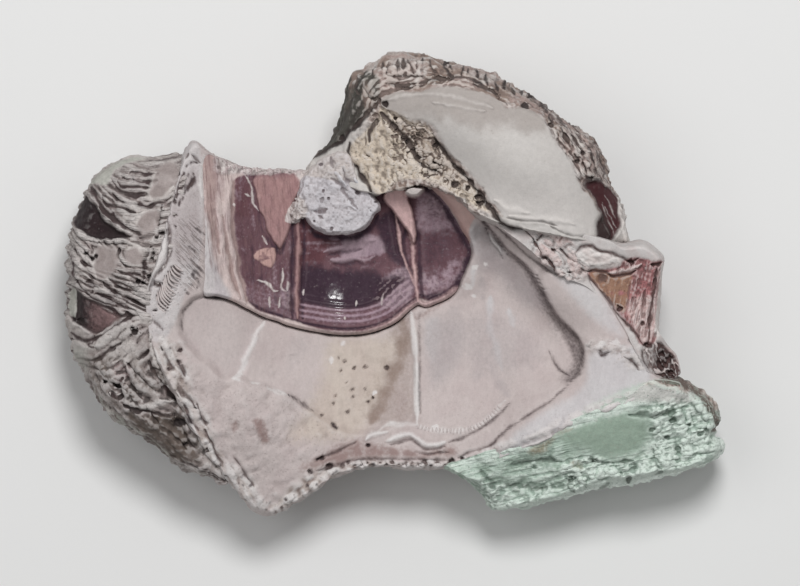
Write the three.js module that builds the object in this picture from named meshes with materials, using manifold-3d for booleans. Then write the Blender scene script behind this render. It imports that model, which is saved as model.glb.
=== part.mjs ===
// A fossil cluster of large acorn barnacles, broken open, lying on the outer walls of its shells.
//
// Units are millimetres, +Z is up, and the origin is the centre of the bounding box's underside.
// Every growth in the cluster is one closed body of the same kind: an outline seen from above, a relief on
// top, and a rounded underside that is worn flat where it rests. The relief is blended from a few spot
// heights, as on a survey, and then stepped, ridged and grooved along named curves.

import * as THREE from "three";
import { mergeVertices } from "three/addons/utils/BufferGeometryUtils.js";
import Module from "manifold-3d";

// ---------------------------------------------------------------- driving dimensions

const ORIGIN_SHIFT = [0.84, -1.55]; // moves the survey's own zero to the centre of the bounding box
const CONTACT_GAP = 0.35; // clearance between two growths that are cemented together
const SEABED = 0; // height of the surface that the cluster lies on
const WORN_RIM = 0.45; // where the widest edge lies between the underside, 0, and the top, 1
const CURVE_STEPS = 12; // points to each span of a smoothed curve

// ---------------------------------------------------------------- plane curves and fields

const clamp01 = (t) => Math.min(1, Math.max(0, t));
const smooth = (low, high, value) => {
  const t = clamp01((value - low) / (high - low));
  return t * t * (3 - 2 * t);
};
const mix = (a, b, t) => a + (b - a) * t;

// A smooth curve through hand-set points, as a list of [x, y].
function curveThrough(points, closed) {
  const knots = points.map(([x, y]) => new THREE.Vector3(x, y, 0));
  const curve = new THREE.CatmullRomCurve3(knots, closed, "centripetal");
  const places = curve.getPoints(points.length * CURVE_STEPS);
  return places.map((p) => [p.x, p.y]);
}

// Distance from (x, y) to a curve made of straight steps.
function distanceTo(path, x, y) {
  let nearest = Infinity;
  for (let i = 1; i < path.length; i++) {
    const [ax, ay] = path[i - 1];
    const [dx, dy] = [path[i][0] - ax, path[i][1] - ay];
    const t = clamp01(((x - ax) * dx + (y - ay) * dy) / (dx * dx + dy * dy || 1));
    nearest = Math.min(nearest, Math.hypot(x - ax - t * dx, y - ay - t * dy));
  }
  return nearest;
}

// True where (x, y) is inside a closed curve: a ray to +X crosses it an odd number of times.
function isInside(path, x, y) {
  let inside = false;
  for (let i = 1; i < path.length; i++) {
    const [ax, ay] = path[i - 1];
    const [bx, by] = path[i];
    if (ay > y !== by > y && x < ax + ((y - ay) * (bx - ax)) / (by - ay)) inside = !inside;
  }
  return inside;
}

// A region lower (or higher) than what is round it: its floor drops by depth across a wall of given width.
function hollow(points, depth, wall) {
  const path = curveThrough(points, true);
  return (x, y) => {
    const away = distanceTo(path, x, y);
    const inward = isInside(path, x, y) ? away : -away;
    return -depth * smooth(-wall / 2, wall / 2, inward);
  };
}

// A rounded ridge, or a groove where the height is negative, along an open curve.
function ridge(points, height, width) {
  const path = curveThrough(points, false);
  return (x, y) => height * Math.exp(-((distanceTo(path, x, y) / width) ** 2));
}

// Blends spot heights [x, y, z] into a smooth surface: each counts by a bell of its distance.
function blendSpots(spots, spread) {
  return (x, y) => {
    let [sum, weights] = [0, 0];
    for (const [sx, sy, sz] of spots) {
      const squared = (x - sx) ** 2 + (y - sy) ** 2;
      const weight = Math.exp(-squared / (2 * spread ** 2)) + 1e-7 / (1 + squared);
      sum += weight * sz;
      weights += weight;
    }
    return sum / weights;
  };
}

// Ribs that fan out from a shell's own apex, as waves of the direction seen from it.
function fannedRibs([apexX, apexY], count, height) {
  return (x, y) => height * Math.sin(count * Math.atan2(y - apexY, x - apexX));
}

// ---------------------------------------------------------------- one closed body from its relief

// Carries a square to a disc, ring by ring: returns the ring's share of the radius and the share of a turn.
function squareToDisc(a, b) {
  if (a === 0 && b === 0) return [0, 0];
  const [radius, eighths] = Math.abs(a) > Math.abs(b) ? [a, b / a] : [b, 2 - a / b];
  const turn = eighths / 8 + (radius < 0 ? 0.5 : 0);
  return [Math.abs(radius), (turn + 1) % 1];
}

// Steps round the edge of a grid of n by n cells, counter-clockwise, as [column, row].
function edgeOf(n) {
  const places = [];
  for (let i = 0; i < n; i++) places.push([i, 0]);
  for (let i = 0; i < n; i++) places.push([n, i]);
  for (let i = n; i > 0; i--) places.push([i, n]);
  for (let i = n; i > 0; i--) places.push([0, i]);
  return places;
}

// The closed geometry of one growth, with its equal points merged.
function growthGeometry(growth) {
  const { outline, centre, cells, relief, underside, topRounding, footRounding } = growth;
  const knots = outline.map(([x, y]) => new THREE.Vector3(x, y, 0));
  const rim = new THREE.CatmullRomCurve3(knots, true, "centripetal");
  rim.arcLengthDivisions = outline.length * CURVE_STEPS * 4;

  function place(a, b, isTop) {
    const [ring, turn] = squareToDisc(a, b);
    const edge = rim.getPointAt(turn);
    const reach = Math.hypot(edge.x - centre[0], edge.y - centre[1]);
    const x = mix(centre[0], edge.x, ring);
    const y = mix(centre[1], edge.y, ring);
    const low = Math.max(SEABED, underside(x, y));
    const high = Math.max(relief(x, y), low + 1);
    const middle = mix(low, high, WORN_RIM);
    const rounding = isTop ? topRounding : footRounding;
    const inward = clamp01(((1 - ring) * reach) / rounding);
    const bulge = Math.sqrt(1 - (1 - inward) ** 2);
    return [x, y, mix(middle, isTop ? high : low, bulge)];
  }

  const positions = [];
  const faces = [];
  function sheet(n, isTop) {
    const first = positions.length / 3;
    for (let row = 0; row <= n; row++) {
      for (let column = 0; column <= n; column++) {
        positions.push(...place((2 * column) / n - 1, (2 * row) / n - 1, isTop));
      }
    }
    const at = (column, row) => first + row * (n + 1) + column;
    for (let row = 0; row < n; row++) {
      for (let column = 0; column < n; column++) {
        const [p, q, r, s] = [
          at(column, row),
          at(column + 1, row),
          at(column + 1, row + 1),
          at(column, row + 1),
        ];
        if (isTop) faces.push(p, q, r, p, r, s);
        else faces.push(p, r, q, p, s, r);
      }
    }
    return edgeOf(n).map(([column, row]) => at(column, row));
  }

  // The underside has half as many cells each way, so each of its edge steps meets two of the top's.
  const topEdge = sheet(cells, true);
  const footEdge = sheet(cells / 2, false);
  footEdge.forEach((foot, i) => {
    const between = topEdge[2 * i + 1];
    const next = footEdge[(i + 1) % footEdge.length];
    faces.push(foot, next, between);
  });

  // The two edges share their places, so merging equal points closes the body.
  const open = new THREE.BufferGeometry();
  open.setAttribute("position", new THREE.Float32BufferAttribute(positions, 3));
  open.setIndex(faces);
  return mergeVertices(open, 1e-3);
}

// The same closed surface pushed outwards by gap, for cutting a neighbour.
function swollen(geometry, gap) {
  geometry.computeVertexNormals();
  const { position, normal } = geometry.attributes;
  for (let i = 0; i < position.array.length; i++) position.array[i] += gap * normal.array[i];
  return geometry;
}

// ---------------------------------------------------------------- the opened shell

const mainShell = {
  centre: [-3, -6],
  cells: 36,
  topRounding: 2.2,
  footRounding: 11,
  outline: [
    [44, -14.5], [39.5, -3.5], [33, 4.5], [28, 8.5], [21, 13.5], [13, 19], [4, 22.5], [-6, 24.5],
    [-13, 24], [-17.5, 22.3], [-23, 22.4], [-28, 22.8], [-32, 24.2], [-35, 25.2], [-37, 27.4],
    [-38.8, 25.4], [-40.5, 20], [-42.2, 13], [-44, 6], [-46, 0], [-46, -6], [-44, -12], [-41, -18],
    [-38, -24], [-34.5, -30], [-30.5, -34.5], [-27, -39], [-24, -40.3], [-20, -38.6], [-16, -36],
    [-11, -33], [-5, -31.6], [2, -31.9], [9, -31.6], [16, -30.2], [24, -27.5], [32, -23.8],
    [40, -20.3],
  ],
  spread: 4.2,
  spots: [
    // the broken wall on the left, from its spike down to the lower corner
    [-37, 25, 31], [-40, 17, 33], [-42, 9, 34], [-44, 1, 33], [-44, -7, 31.5], [-41, -15, 29.5],
    [-36, -24, 26], [-31, -31, 21.5], [-24, -38, 14], [-36.5, 15, 31], [-37.5, 6, 31],
    [-38.5, -1, 30.5], [-40, -9, 29],
    // the lining's left slope and the rim of the mouth
    [-33.5, 20, 26.5], [-33, 10, 26.5], [-31, 2, 24.5], [-30, 22, 22.5], [-24, 21.5, 21],
    [-18, 21.5, 20.5],
    // the lining, deepest in the middle
    [-26, 14, 20.5], [-25, 5, 20], [-22, -2, 19.8], [-20, 14, 19.5], [-15, 12, 18], [-14, 3, 17],
    [-8, 6, 16], [-10, -4, 16.4], [-4, 12, 17.5], [-2, 2, 16.5], [4, 17, 19], [6, 10, 16],
    [7, 3, 16], [11, 8, 17], [-8, 20, 22],
    // the inner wall under the lining
    [-34, -4, 26.5], [-29, -9, 25], [-34, -11, 27.5], [-22, -9, 20.5], [-16, -11, 18.3],
    [-9, -11, 17], [-3, -12, 16.8], [-22, -17, 22.5], [-14, -20, 20], [-6, -20, 18], [-27, -20, 25.5],
    [-31, -20, 26.5], [-29, -27, 25.5], [-23, -30, 22.5], [-17, -29, 22], [-24, -34, 19],
    // the fan-shaped pocket on the right
    [3, -8, 16.5], [9, -6, 16.5], [15, -3, 17.5], [14, 5, 18.5], [20, 2, 19.5], [15, 11, 23],
    [9, -15, 16.8], [17, -13, 17.8], [24, -8, 20.5], [29, -10, 22.5], [24, -16, 21], [14, -20, 18.8],
    [5, -21, 17.6], [28.5, -14.5, 23],
    // the foot of the wall
    [-10, -27, 20], [-3, -27, 19.5], [4, -28, 20], [11, -27.5, 20.5], [-8, -31, 19.5], [6, -31, 19],
    // the smooth thick wall on the right
    [20, 10, 29], [25, 6, 29], [30, 1, 28.5], [36, -5, 28], [36, -13, 28], [42, -15, 27],
    [33, -19, 26.5], [26, -22, 25], [18, -26, 23], [40, -19, 26.5], [12, 18, 27.5], [2, 22, 25],
  ],
  // a rounded outer wall with ribs that run down from the mouth, tucked under the middle of the lower edge
  underside: (x, y) =>
    0.0062 * (x + 4) ** 2 +
    0.006 * Math.max(0, y - 4) ** 2 +
    mix(0.008, 0.034, smooth(-27, -9, x)) * Math.max(0, -y - 14) ** 2 -
    1.4 +
    fannedRibs([-4, 52], 46, 0.45)(x, y),
};

const liningRegion = [
  [-29, -0.5], [-26, -3], [-22, -4.7], [-17, -6], [-10, -7.1], [-4, -6.4], [0, -4.4], [3.2, -2.2],
  [7, -1.3], [10, 0.2], [11.6, 4.5], [12.8, 8], [11.5, 11.5], [9, 15.5], [5.5, 19], [-2, 20.5],
  [-16, 24], [-30, 25], [-30, 12],
];
const leftPocketRegion = [
  [-24.6, -5.2], [-26.2, -9], [-29, -15], [-33, -13.4], [-38.4, -8.6], [-39.2, -4.4], [-36.8, -1.3],
  [-33, -0.9], [-28, -3],
];
const fanPocketRegion = [
  [32.6, -10], [32.4, -14], [30.8, -16], [26, -19.6], [20, -23], [12, -26.3], [4.3, -26.5],
  [4.2, -14], [4.4, -4], [9.5, -1], [12.9, 8], [14, 11.4], [19, 8.2], [24, 3.4], [28, -4],
];

// ---------------------------------------------------------------- the growths round it

const leftShell = {
  centre: [-51, -4],
  cells: 28,
  topRounding: 7,
  footRounding: 8,
  outline: [
    [-41, 6], [-40, 12], [-38.7, 18], [-37.8, 23.5], [-40.5, 24.9], [-44, 24.5], [-48, 24.7],
    [-52, 23.3], [-55.3, 20.8], [-57.2, 17], [-59, 12.5], [-60, 7.5], [-60, 2], [-60.3, -3],
    [-59.7, -8.5], [-58, -13], [-55.4, -18], [-52.2, -22.5], [-48, -25.4], [-43.5, -28.3],
    [-39.6, -31.6], [-35, -33], [-31.4, -34.3], [-32.3, -30], [-36, -23.5], [-39.8, -17],
    [-43, -10], [-44.2, -4], [-43, 1],
  ],
  spread: 4,
  spots: [
    [-39.5, 20, 31.5], [-41.5, 12, 33], [-43, 4, 33], [-45, -4, 31.5], [-43.5, -12, 29.5],
    [-40, -19, 27], [-36, -26, 24.5], [-33, -31, 21.5], [-45, 21, 31], [-47, 12, 33.5],
    [-48, 4, 33], [-49, -4, 32], [-48, -12, 30], [-45, -20, 25.5], [-40, -28, 20.5],
    [-51, 20, 29], [-54, 13, 29], [-55, 4, 30], [-55, -5, 28], [-53, -13, 26], [-50, -20, 22],
    [-56, 17, 25], [-58, 8, 25], [-58, -4, 23], [-57, -12, 20],
  ],
  underside: (x, y) =>
    0.035 * (x + 50.5) ** 2 + 0.006 * (y + 1) ** 2 - 1.5 + fannedRibs([-30, 0], 40, 0.5)(x, y),
};
const leftShellRidges = [
  ridge([[-56, 20], [-51, 21.5], [-44, 20.5]], 0.7, 1.6),
  ridge([[-57.5, 15.5], [-52, 17.5], [-44, 16]], 0.7, 1.6),
  ridge([[-58, 5.5], [-52, 5.5], [-46, 3.5]], 0.8, 1.6),
  ridge([[-58.5, 2], [-53, 1.5], [-46.5, -1]], 0.7, 1.6),
  ridge([[-57, 12], [-52, 10], [-47, 10.5]], -2.2, 1.8),
  ridge([[-59, -1], [-54, -2.6], [-50, -3.6]], -2.4, 2),
  ridge([[-57, 10], [-51, 8.6], [-47, 8.5]], 0.8, 1),
  ridge([[-54, 16.5], [-52, 13], [-46.5, 11]], 0.9, 1),
  ridge([[-58, -9], [-52, -8], [-46, -7]], -1.2, 1.4),
  ridge([[-55, -17], [-48, -19], [-41, -20]], 1.2, 1.6),
  ridge([[-52, -22], [-45, -23], [-38, -26]], -1.2, 1.6),
];

const upperShell = {
  centre: [13, 27],
  cells: 22,
  topRounding: 6,
  footRounding: 12,
  outline: [
    [41, 9.4], [40.6, 13], [39, 17.8], [37.3, 21], [36, 25.4], [34.4, 27.9], [31, 30],
    [27.5, 32.7], [23, 35.6], [18.5, 38.4], [13, 40.5], [7.5, 41.6], [3, 42.9], [-1.5, 43.3],
    [-5.5, 41], [-8.8, 38.4], [-10.2, 34.5], [-11.3, 30], [-13, 26.8], [-16.6, 22.2], [-10, 19],
    [-4, 17], [-1, 18.6], [4, 19.2], [9, 17.5], [14, 13.5], [20, 11.5], [28, 10], [35, 9],
  ],
  spread: 3.6,
  spots: [
    // the smooth basal disc
    [0, 34, 35], [7, 33.5, 37.5], [14, 33, 38.5], [10, 28, 38.5], [18, 28, 39], [25, 30, 38],
    [15, 22, 38.5], [22, 22, 39], [29, 24, 38], [19, 16, 37.5], [26, 16, 38], [32, 17, 36.5],
    [33, 12, 35], [25, 12.5, 35.5],
    // the ribbed wall that falls away beyond it
    [-5, 38, 32.5], [0, 39.5, 32.5], [7, 39, 34], [14, 37.6, 34.5], [20, 35.2, 34.5],
    [26, 32.6, 34.5], [31, 28, 34], [34, 24, 31], [1, 42, 28], [37, 16, 26], [38.5, 11, 25],
    // the porous broken wall below the disc
    [-3, 30, 32], [-3, 24, 29.5], [2, 28, 32.5], [3, 22, 30.5], [7, 24, 33], [10, 20.5, 32.5],
    [-6, 20, 26.5], [-1, 20, 27.5], [6, 20, 30], [13, 16.5, 31.5],
    // the dark flank by the notch
    [-8, 34, 28], [-9, 29, 27], [-12, 25, 23.5], [-15, 22.5, 21], [-8, 24, 26],
  ],
  underside: (x, y) =>
    0.016 * (x - 15) ** 2 + 0.02 * (y - 28) ** 2 - 1.5 + fannedRibs([15, 28], 38, 0.4)(x, y),
};
const discRegion = [
  [35.2, 12], [35, 15.5], [32, 20], [28.5, 26], [25.5, 31.5], [22, 33.5], [17, 35], [8, 36.6],
  [-1.5, 35.4], [-2.5, 32.6], [2, 31], [6, 29.5], [8.5, 25], [13, 20], [16.5, 15.5], [21, 12.5],
  [28, 11.5],
];

const rightShell = {
  centre: [36.5, 4.5],
  cells: 14,
  topRounding: 2.4,
  footRounding: 7,
  outline: [
    [47.4, 4], [47.6, 6.4], [46, 8.2], [43.8, 9.5], [40, 9.2], [34, 10.6], [28, 11.8], [22, 13.2],
    [17, 16], [14.2, 17], [17, 12.4], [21, 9.4], [25.5, 5.6], [29, 2.6], [33.5, 2], [37.4, -2.6],
    [41, -7.8], [43.5, -12], [45.5, -15.8], [48.6, -15.6], [50, -14], [49.4, -11.3], [47.6, -9.6],
    [46.2, -8], [46.9, -3],
  ],
  spread: 2.6,
  spots: [
    [15.5, 15.5, 32.5], [20, 12.3, 32.5], [25, 9.5, 32.5], [31, 9.4, 32.5], [37, 8.6, 32],
    [43, 8.2, 31], [46.3, 6.6, 30], [26, 7, 31.5], [30, 5.4, 31], [35, 5.6, 31.5], [38.5, 5.8, 29],
    [33, 3.2, 29], [46.7, 2, 27.5], [46.2, -4, 25], [42.5, 3, 23], [39, 2.5, 24], [42, -1.5, 22],
    [44, -6, 21], [36.5, 0.5, 27], [40, -5, 26], [43, -10, 25.5], [45, -14, 24.5], [47.5, -12, 21.5],
    [49, -14, 19],
  ],
  underside: (x, y) => 9 + 0.03 * (x - 38) ** 2 + 0.03 * (y + 1) ** 2 - 0.22 * (y + 14),
};

const greenCrust = {
  centre: [37, -28],
  cells: 16,
  topRounding: 3.2,
  footRounding: 8,
  outline: [
    [58.6, -27.4], [57, -25.6], [57.8, -22.4], [57.2, -20.2], [54, -17.6], [50.3, -15.6],
    [45, -15.3], [40, -18.6], [33, -21.2], [26, -24.4], [18, -27.6], [12, -29.6], [7.6, -31.2],
    [11.5, -33.2], [14.2, -35.8], [16.3, -38.4], [21, -39], [28, -37.4], [36, -35.3], [42, -34.3],
    [48, -32.9], [54, -31.5], [57.4, -29.8],
  ],
  spread: 3.4,
  spots: [
    [12, -31, 19.5], [19, -29, 23], [27, -26, 25.5], [34, -23, 26.8], [41, -19.5, 27.3],
    [47, -17.5, 26.5], [53, -19, 24.5], [56, -22, 21.5], [20, -33, 18.5], [29, -30, 21.5],
    [38, -27, 23.5], [46, -24, 23.5], [53, -25, 21], [19, -37, 13], [28, -34.5, 15],
    [37, -32.5, 16.5], [46, -29.5, 18], [54, -29, 16.5],
  ],
  underside: (x, y) => 0.012 * (x - 40) ** 2 + 0.05 * (y + 26.5) ** 2 - 1.4,
};

const chalkLump = {
  centre: [-11, 17.5],
  cells: 10,
  topRounding: 2.4,
  footRounding: 1.2,
  outline: [
    [-3.5, 15.2], [-4.6, 17.2], [-6.5, 19.6], [-8.2, 22.4], [-9.4, 25.4], [-12.5, 25], [-15.6, 23],
    [-17.6, 20.4], [-18.6, 17], [-20, 14.2], [-19.3, 12.9], [-17.4, 13.6], [-16.1, 12.1],
    [-13.4, 10.8], [-10, 10.5], [-7, 11.2], [-5.2, 12.7], [-4.6, 14.2],
  ],
  spread: 2.4,
  spots: [
    [-12, 20, 26], [-15, 17, 24.6], [-10, 15, 24.8], [-6.5, 16, 25], [-12.5, 12.5, 22.6],
    [-8, 12.5, 22.6], [-11, 23.5, 27], [-8, 19, 26.5], [-18.4, 14.6, 22], [-16, 21, 24.5],
  ],
  underside: (x, y) => 18 + 0.3 * Math.max(0, y - 15),
};

// ---------------------------------------------------------------- reliefs, solids and joints of growth

// Adds the steps, ridges and grooves to a growth's blended spot heights.
function carve(growth, features) {
  const ground = blendSpots(growth.spots, growth.spread);
  growth.relief = (x, y) => features.reduce((z, feature) => z + feature(x, y), ground(x, y));
  return growth;
}

carve(mainShell, [
  hollow(liningRegion, -1.8, 2.6), // the lining is thicker than the wall below it
  hollow(leftPocketRegion, 2.4, 3),
  hollow(fanPocketRegion, 2.6, 3),
  ridge([[-18.6, 15], [-18.3, 6], [-18.6, -4]], 1, 1.8), // seams between the wall plates
  ridge([[-2, 17], [0.5, 10], [2, 4], [3, -2]], 1.4, 1.8),
  ridge([[2.2, -3], [3, -12], [3.6, -24]], 1.2, 1.8),
  ridge([[-24.8, -5.5], [-26.6, -10], [-29, -15]], 1.1, 1.8),
  ridge([[-5, -24.6], [2, -24], [9, -24.8], [15, -23]], 1.1, 1.8), // the foot of the inner wall
  ridge([[14, 17.5], [20, 10.5], [27, 4], [35, -3], [42, -12]], -1.3, 1.7),
]);
carve(leftShell, leftShellRidges);
carve(upperShell, [hollow(discRegion, -1.4, 1.6), ridge([[-4, 33], [-9.4, 25], [-6, 19]], -1.2, 1.2)]);
carve(rightShell, []);
carve(greenCrust, [
  ridge([[14, -33.5], [26, -31.5], [38, -30], [50, -27]], -0.9, 1),
  ridge([[17, -36], [30, -33], [42, -31.8], [54, -29]], 0.8, 1),
]);
carve(chalkLump, []);

const wasm = await Module();
wasm.setup();

function solidOf(geometry) {
  return new wasm.Manifold(
    new wasm.Mesh({
      numProp: 3,
      vertProperties: geometry.attributes.position.array,
      triVerts: new Uint32Array(geometry.index.array),
    }),
  );
}

// The growth as it has grown against those that were there before it.
function grownAgainst(growth, neighbours) {
  const cutters = neighbours.map((n) => solidOf(swollen(growthGeometry(n), CONTACT_GAP)));
  const own = solidOf(growthGeometry(growth));
  return cutters.reduce((left, cutter) => left.subtract(cutter), own);
}

function geometryOf(solid) {
  const { numProp, numVert, triVerts, vertProperties } = solid.getMesh();
  const positions = new Float32Array(numVert * 3);
  for (let i = 0; i < numVert; i++) {
    positions.set(vertProperties.subarray(i * numProp, i * numProp + 3), i * 3);
  }
  const geometry = new THREE.BufferGeometry();
  geometry.setAttribute("position", new THREE.BufferAttribute(positions, 3));
  geometry.setIndex(new THREE.BufferAttribute(triVerts, 1));
  return geometry.toNonIndexed();
}

// ---------------------------------------------------------------- the cluster

const COLOURS = {
  main_shell: 0xb9aeac,
  left_shell: 0x8c8481,
  upper_shell: 0xbcb7b3,
  right_shell: 0xae9a98,
  green_crust: 0xa2bba9,
  chalk_lump: 0xc0bcc0,
};

const cluster = new THREE.Group();
cluster.position.set(ORIGIN_SHIFT[0], ORIGIN_SHIFT[1], 0);

function add(name, growth, neighbours) {
  const material = new THREE.MeshStandardMaterial({
    color: COLOURS[name],
    roughness: 0.8,
    metalness: 0,
  });
  const geometry = geometryOf(grownAgainst(growth, neighbours));
  geometry.computeVertexNormals();
  const mesh = new THREE.Mesh(geometry, material);
  mesh.name = name;
  cluster.add(mesh);
}

add("upper_shell", upperShell, []);
add("right_shell", rightShell, [upperShell]);
add("left_shell", leftShell, []);
add("main_shell", mainShell, [upperShell, rightShell, leftShell]);
add("green_crust", greenCrust, [mainShell, rightShell]);
add("chalk_lump", chalkLump, [mainShell, upperShell]);

export default cluster;
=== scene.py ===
"""A fossil cluster of large acorn barnacles, broken open, lying on the outer walls of its shells.

Shapes are worked out in millimetres, in the survey's own plane, and SURVEY_SHIFT carries that plane to the
model's frame as a mesh is made. Every growth is one closed surface of the same kind: an outline seen from
above, a relief on top and a rounded, ribbed underside. What is fine (ribs, cracks, pores, seams) is added to
the relief along named curves, and then as roughness along the surface's own normals. Each material finds its
patches in the masks that are stored with the surface.
"""

from functools import reduce

import bpy
import numpy as np
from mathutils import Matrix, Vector


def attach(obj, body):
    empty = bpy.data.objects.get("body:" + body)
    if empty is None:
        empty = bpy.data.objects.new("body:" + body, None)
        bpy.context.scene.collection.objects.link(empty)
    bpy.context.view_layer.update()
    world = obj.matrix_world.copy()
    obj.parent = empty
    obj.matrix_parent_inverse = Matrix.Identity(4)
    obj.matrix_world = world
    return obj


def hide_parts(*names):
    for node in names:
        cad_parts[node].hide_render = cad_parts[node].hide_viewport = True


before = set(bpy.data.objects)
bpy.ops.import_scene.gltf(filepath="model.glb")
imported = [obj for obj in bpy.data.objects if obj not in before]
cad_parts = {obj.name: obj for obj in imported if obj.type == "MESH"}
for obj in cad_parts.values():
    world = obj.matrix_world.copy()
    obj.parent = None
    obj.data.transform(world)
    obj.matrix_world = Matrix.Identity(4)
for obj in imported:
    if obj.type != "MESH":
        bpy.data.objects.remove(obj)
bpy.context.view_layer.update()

# ---------------------------------------------------------------- driving values, lengths in millimetres

MM = 0.001
SURVEY_SHIFT = np.array([0.84, -1.55, 0.0])  # from the survey's zero to the middle of the cluster's box
WORN_RIM = 0.45  # where the widest edge lies between the underside, 0, and the top, 1
TOP_SHARE = 0.2  # share of the rings spent on the rounding of the top edge
FOOT_SHARE = 0.4  # share of the rings spent on the rounding of the foot
SHARP_EDGE = 0.6  # rounding of the top's edge where one growth is broken off at another
CURVE_STEPS = 8  # points to each span of a smoothed curve
RIM_STEPS = 24  # points to each span of an outline
TURN_STEPS = 721  # steps round an outline at which its softened form is kept
SOFTENED = 47  # steps to each side over which an outline's corners are smoothed away
BIN = 2.0  # width of the bins that let a curve find the points near it
LATTICE_ZERO = 4096.0  # keeps every lattice coordinate of the noise above zero
SCATTER = 0.42  # how far a pore lies from the middle of its cell at most, in cells
LINE_TIP = 2.2  # length over which a drawn line thins out to its end
MEAN_EDGE = 0.3  # length of edge for which the hollows are evened out
HOLLOW_ROUNDS = 3  # how often the mean is taken that a hollow is measured against
FLAT = (1, 1, 0)  # what points are multiplied by to be seen from above


# ---------------------------------------------------------------- numbers, curves and noise


def smooth(low, high, value):
    """0 below low, 1 above high, and a smooth step between."""
    t = np.clip((value - low) / (high - low), 0.0, 1.0)
    return t * t * (3 - 2 * t)


def mix(a, b, t):
    """a where t is 0, b where it is 1."""
    return a + (b - a) * t


def largest(*parts):
    return reduce(np.maximum, parts)


def level(u, v):
    """Points at height 0 with the given two coordinates."""
    return np.stack((u, v, 0 * u), 1)


def waves(phase, length):
    """Waves from -1 to 1 of the given length."""
    return np.sin(2 * np.pi * phase / length)


def curve_through(points, closed=False, steps=CURVE_STEPS):
    """A smooth curve through given points: a cubic to each span, whose knots lie as far apart as the
    square root of the points' distance, so that it neither loops nor overshoots."""
    p = np.asarray(points, float)
    if closed:
        p0, p1, p2, p3 = np.roll(p, 1, 0), p, np.roll(p, -1, 0), np.roll(p, -2, 0)
    else:
        first, last = 2 * p[0] - p[1], 2 * p[-1] - p[-2]
        every = np.vstack((first, p, last))
        p0, p1, p2, p3 = every[:-3], every[1:-2], every[2:-1], every[3:]
    d0, d1, d2 = (np.sqrt(np.linalg.norm(b - a, axis=1))[:, None] for a, b in ((p0, p1), (p1, p2), (p2, p3)))
    start = ((p1 - p0) / d0 - (p2 - p0) / (d0 + d1) + (p2 - p1) / d1) * d1
    end = ((p2 - p1) / d1 - (p3 - p1) / (d1 + d2) + (p3 - p2) / d2) * d1
    t = (np.arange(steps) / steps)[None, :, None]
    p1, p2, start, end = (v[:, None, :] for v in (p1, p2, start, end))
    bend = -3 * p1 + 3 * p2 - 2 * start - end
    twist = 2 * p1 - 2 * p2 + start + end
    curve = (p1 + t * start + t * t * bend + t**3 * twist).reshape(-1, p.shape[1])
    return np.vstack((curve, p[:1] if closed else p[-1:]))


def lengths_along(path):
    """The length of a path up to each of its points."""
    return np.concatenate(([0.0], np.cumsum(np.linalg.norm(np.diff(path, axis=0), axis=1))))


def point_at(path, share):
    """Places at the given shares of a path's own length."""
    length = lengths_along(path)
    return np.stack([np.interp(share * length[-1], length, path[:, k]) for k in range(path.shape[1])], -1)


def lattice_value(ix, iy, iz, seed):
    """A repeatable number from -1 to 1 for each whole lattice point: its coordinates are multiplied by large
    odd numbers and added up, and the sum is twice folded onto itself and multiplied. The top 24 bits are
    kept."""
    h = ix * np.uint32(374761393) + iy * np.uint32(668265263) + iz * np.uint32(2246822519)
    h = h + np.uint32(seed * 7919 + 17)
    for fold, factor in ((13, 1274126177), (15, 2654435761)):
        h = (h ^ (h >> np.uint32(fold))) * np.uint32(factor)
    return (h >> np.uint32(8)).astype(float) / (2**23 - 0.5) - 1.0


def noise(p, size, seed=0):
    """Smooth noise from -1 to 1: lattice values size apart, blended along each axis with a smooth step."""
    q = p / size + LATTICE_ZERO
    cell = np.floor(q)
    f = q - cell
    f = f * f * (3 - 2 * f)
    cell = cell.astype(np.uint32)
    total = 0.0
    for corner in range(8):
        step = [corner & 1, corner >> 1 & 1, corner >> 2]
        weight = 1.0
        for k in range(3):
            weight = weight * (f[:, k] if step[k] else 1 - f[:, k])
        value = lattice_value(*(cell[:, k] + np.uint32(step[k]) for k in range(3)), seed)
        total = total + weight * value
    return total


def fractal(p, size, octaves, seed=0):
    """Octaves of noise, each half as large and half as strong as the one before."""
    return sum(0.5**k * noise(p, size / 2**k, seed + k) for k in range(octaves))


def pore_distance(p, size, seed=0):
    """Distance from each point to the nearest of the pore centres strewn one to a cell, in cells."""
    q = p / size + LATTICE_ZERO
    cell = np.floor(q)
    nearest = np.full(len(p), np.inf)
    for corner in range(27):
        step = np.array([corner % 3 - 1, corner // 3 % 3 - 1, corner // 9 - 1], float)
        at = cell + step
        whole = at.astype(np.uint32)
        centre = [at[:, k] + 0.5 + SCATTER * lattice_value(*whole.T, seed + 31 * k) for k in range(3)]
        away = sum((q[:, k] - centre[k]) ** 2 for k in range(3))
        nearest = np.minimum(nearest, away)
    return np.sqrt(nearest)


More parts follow.
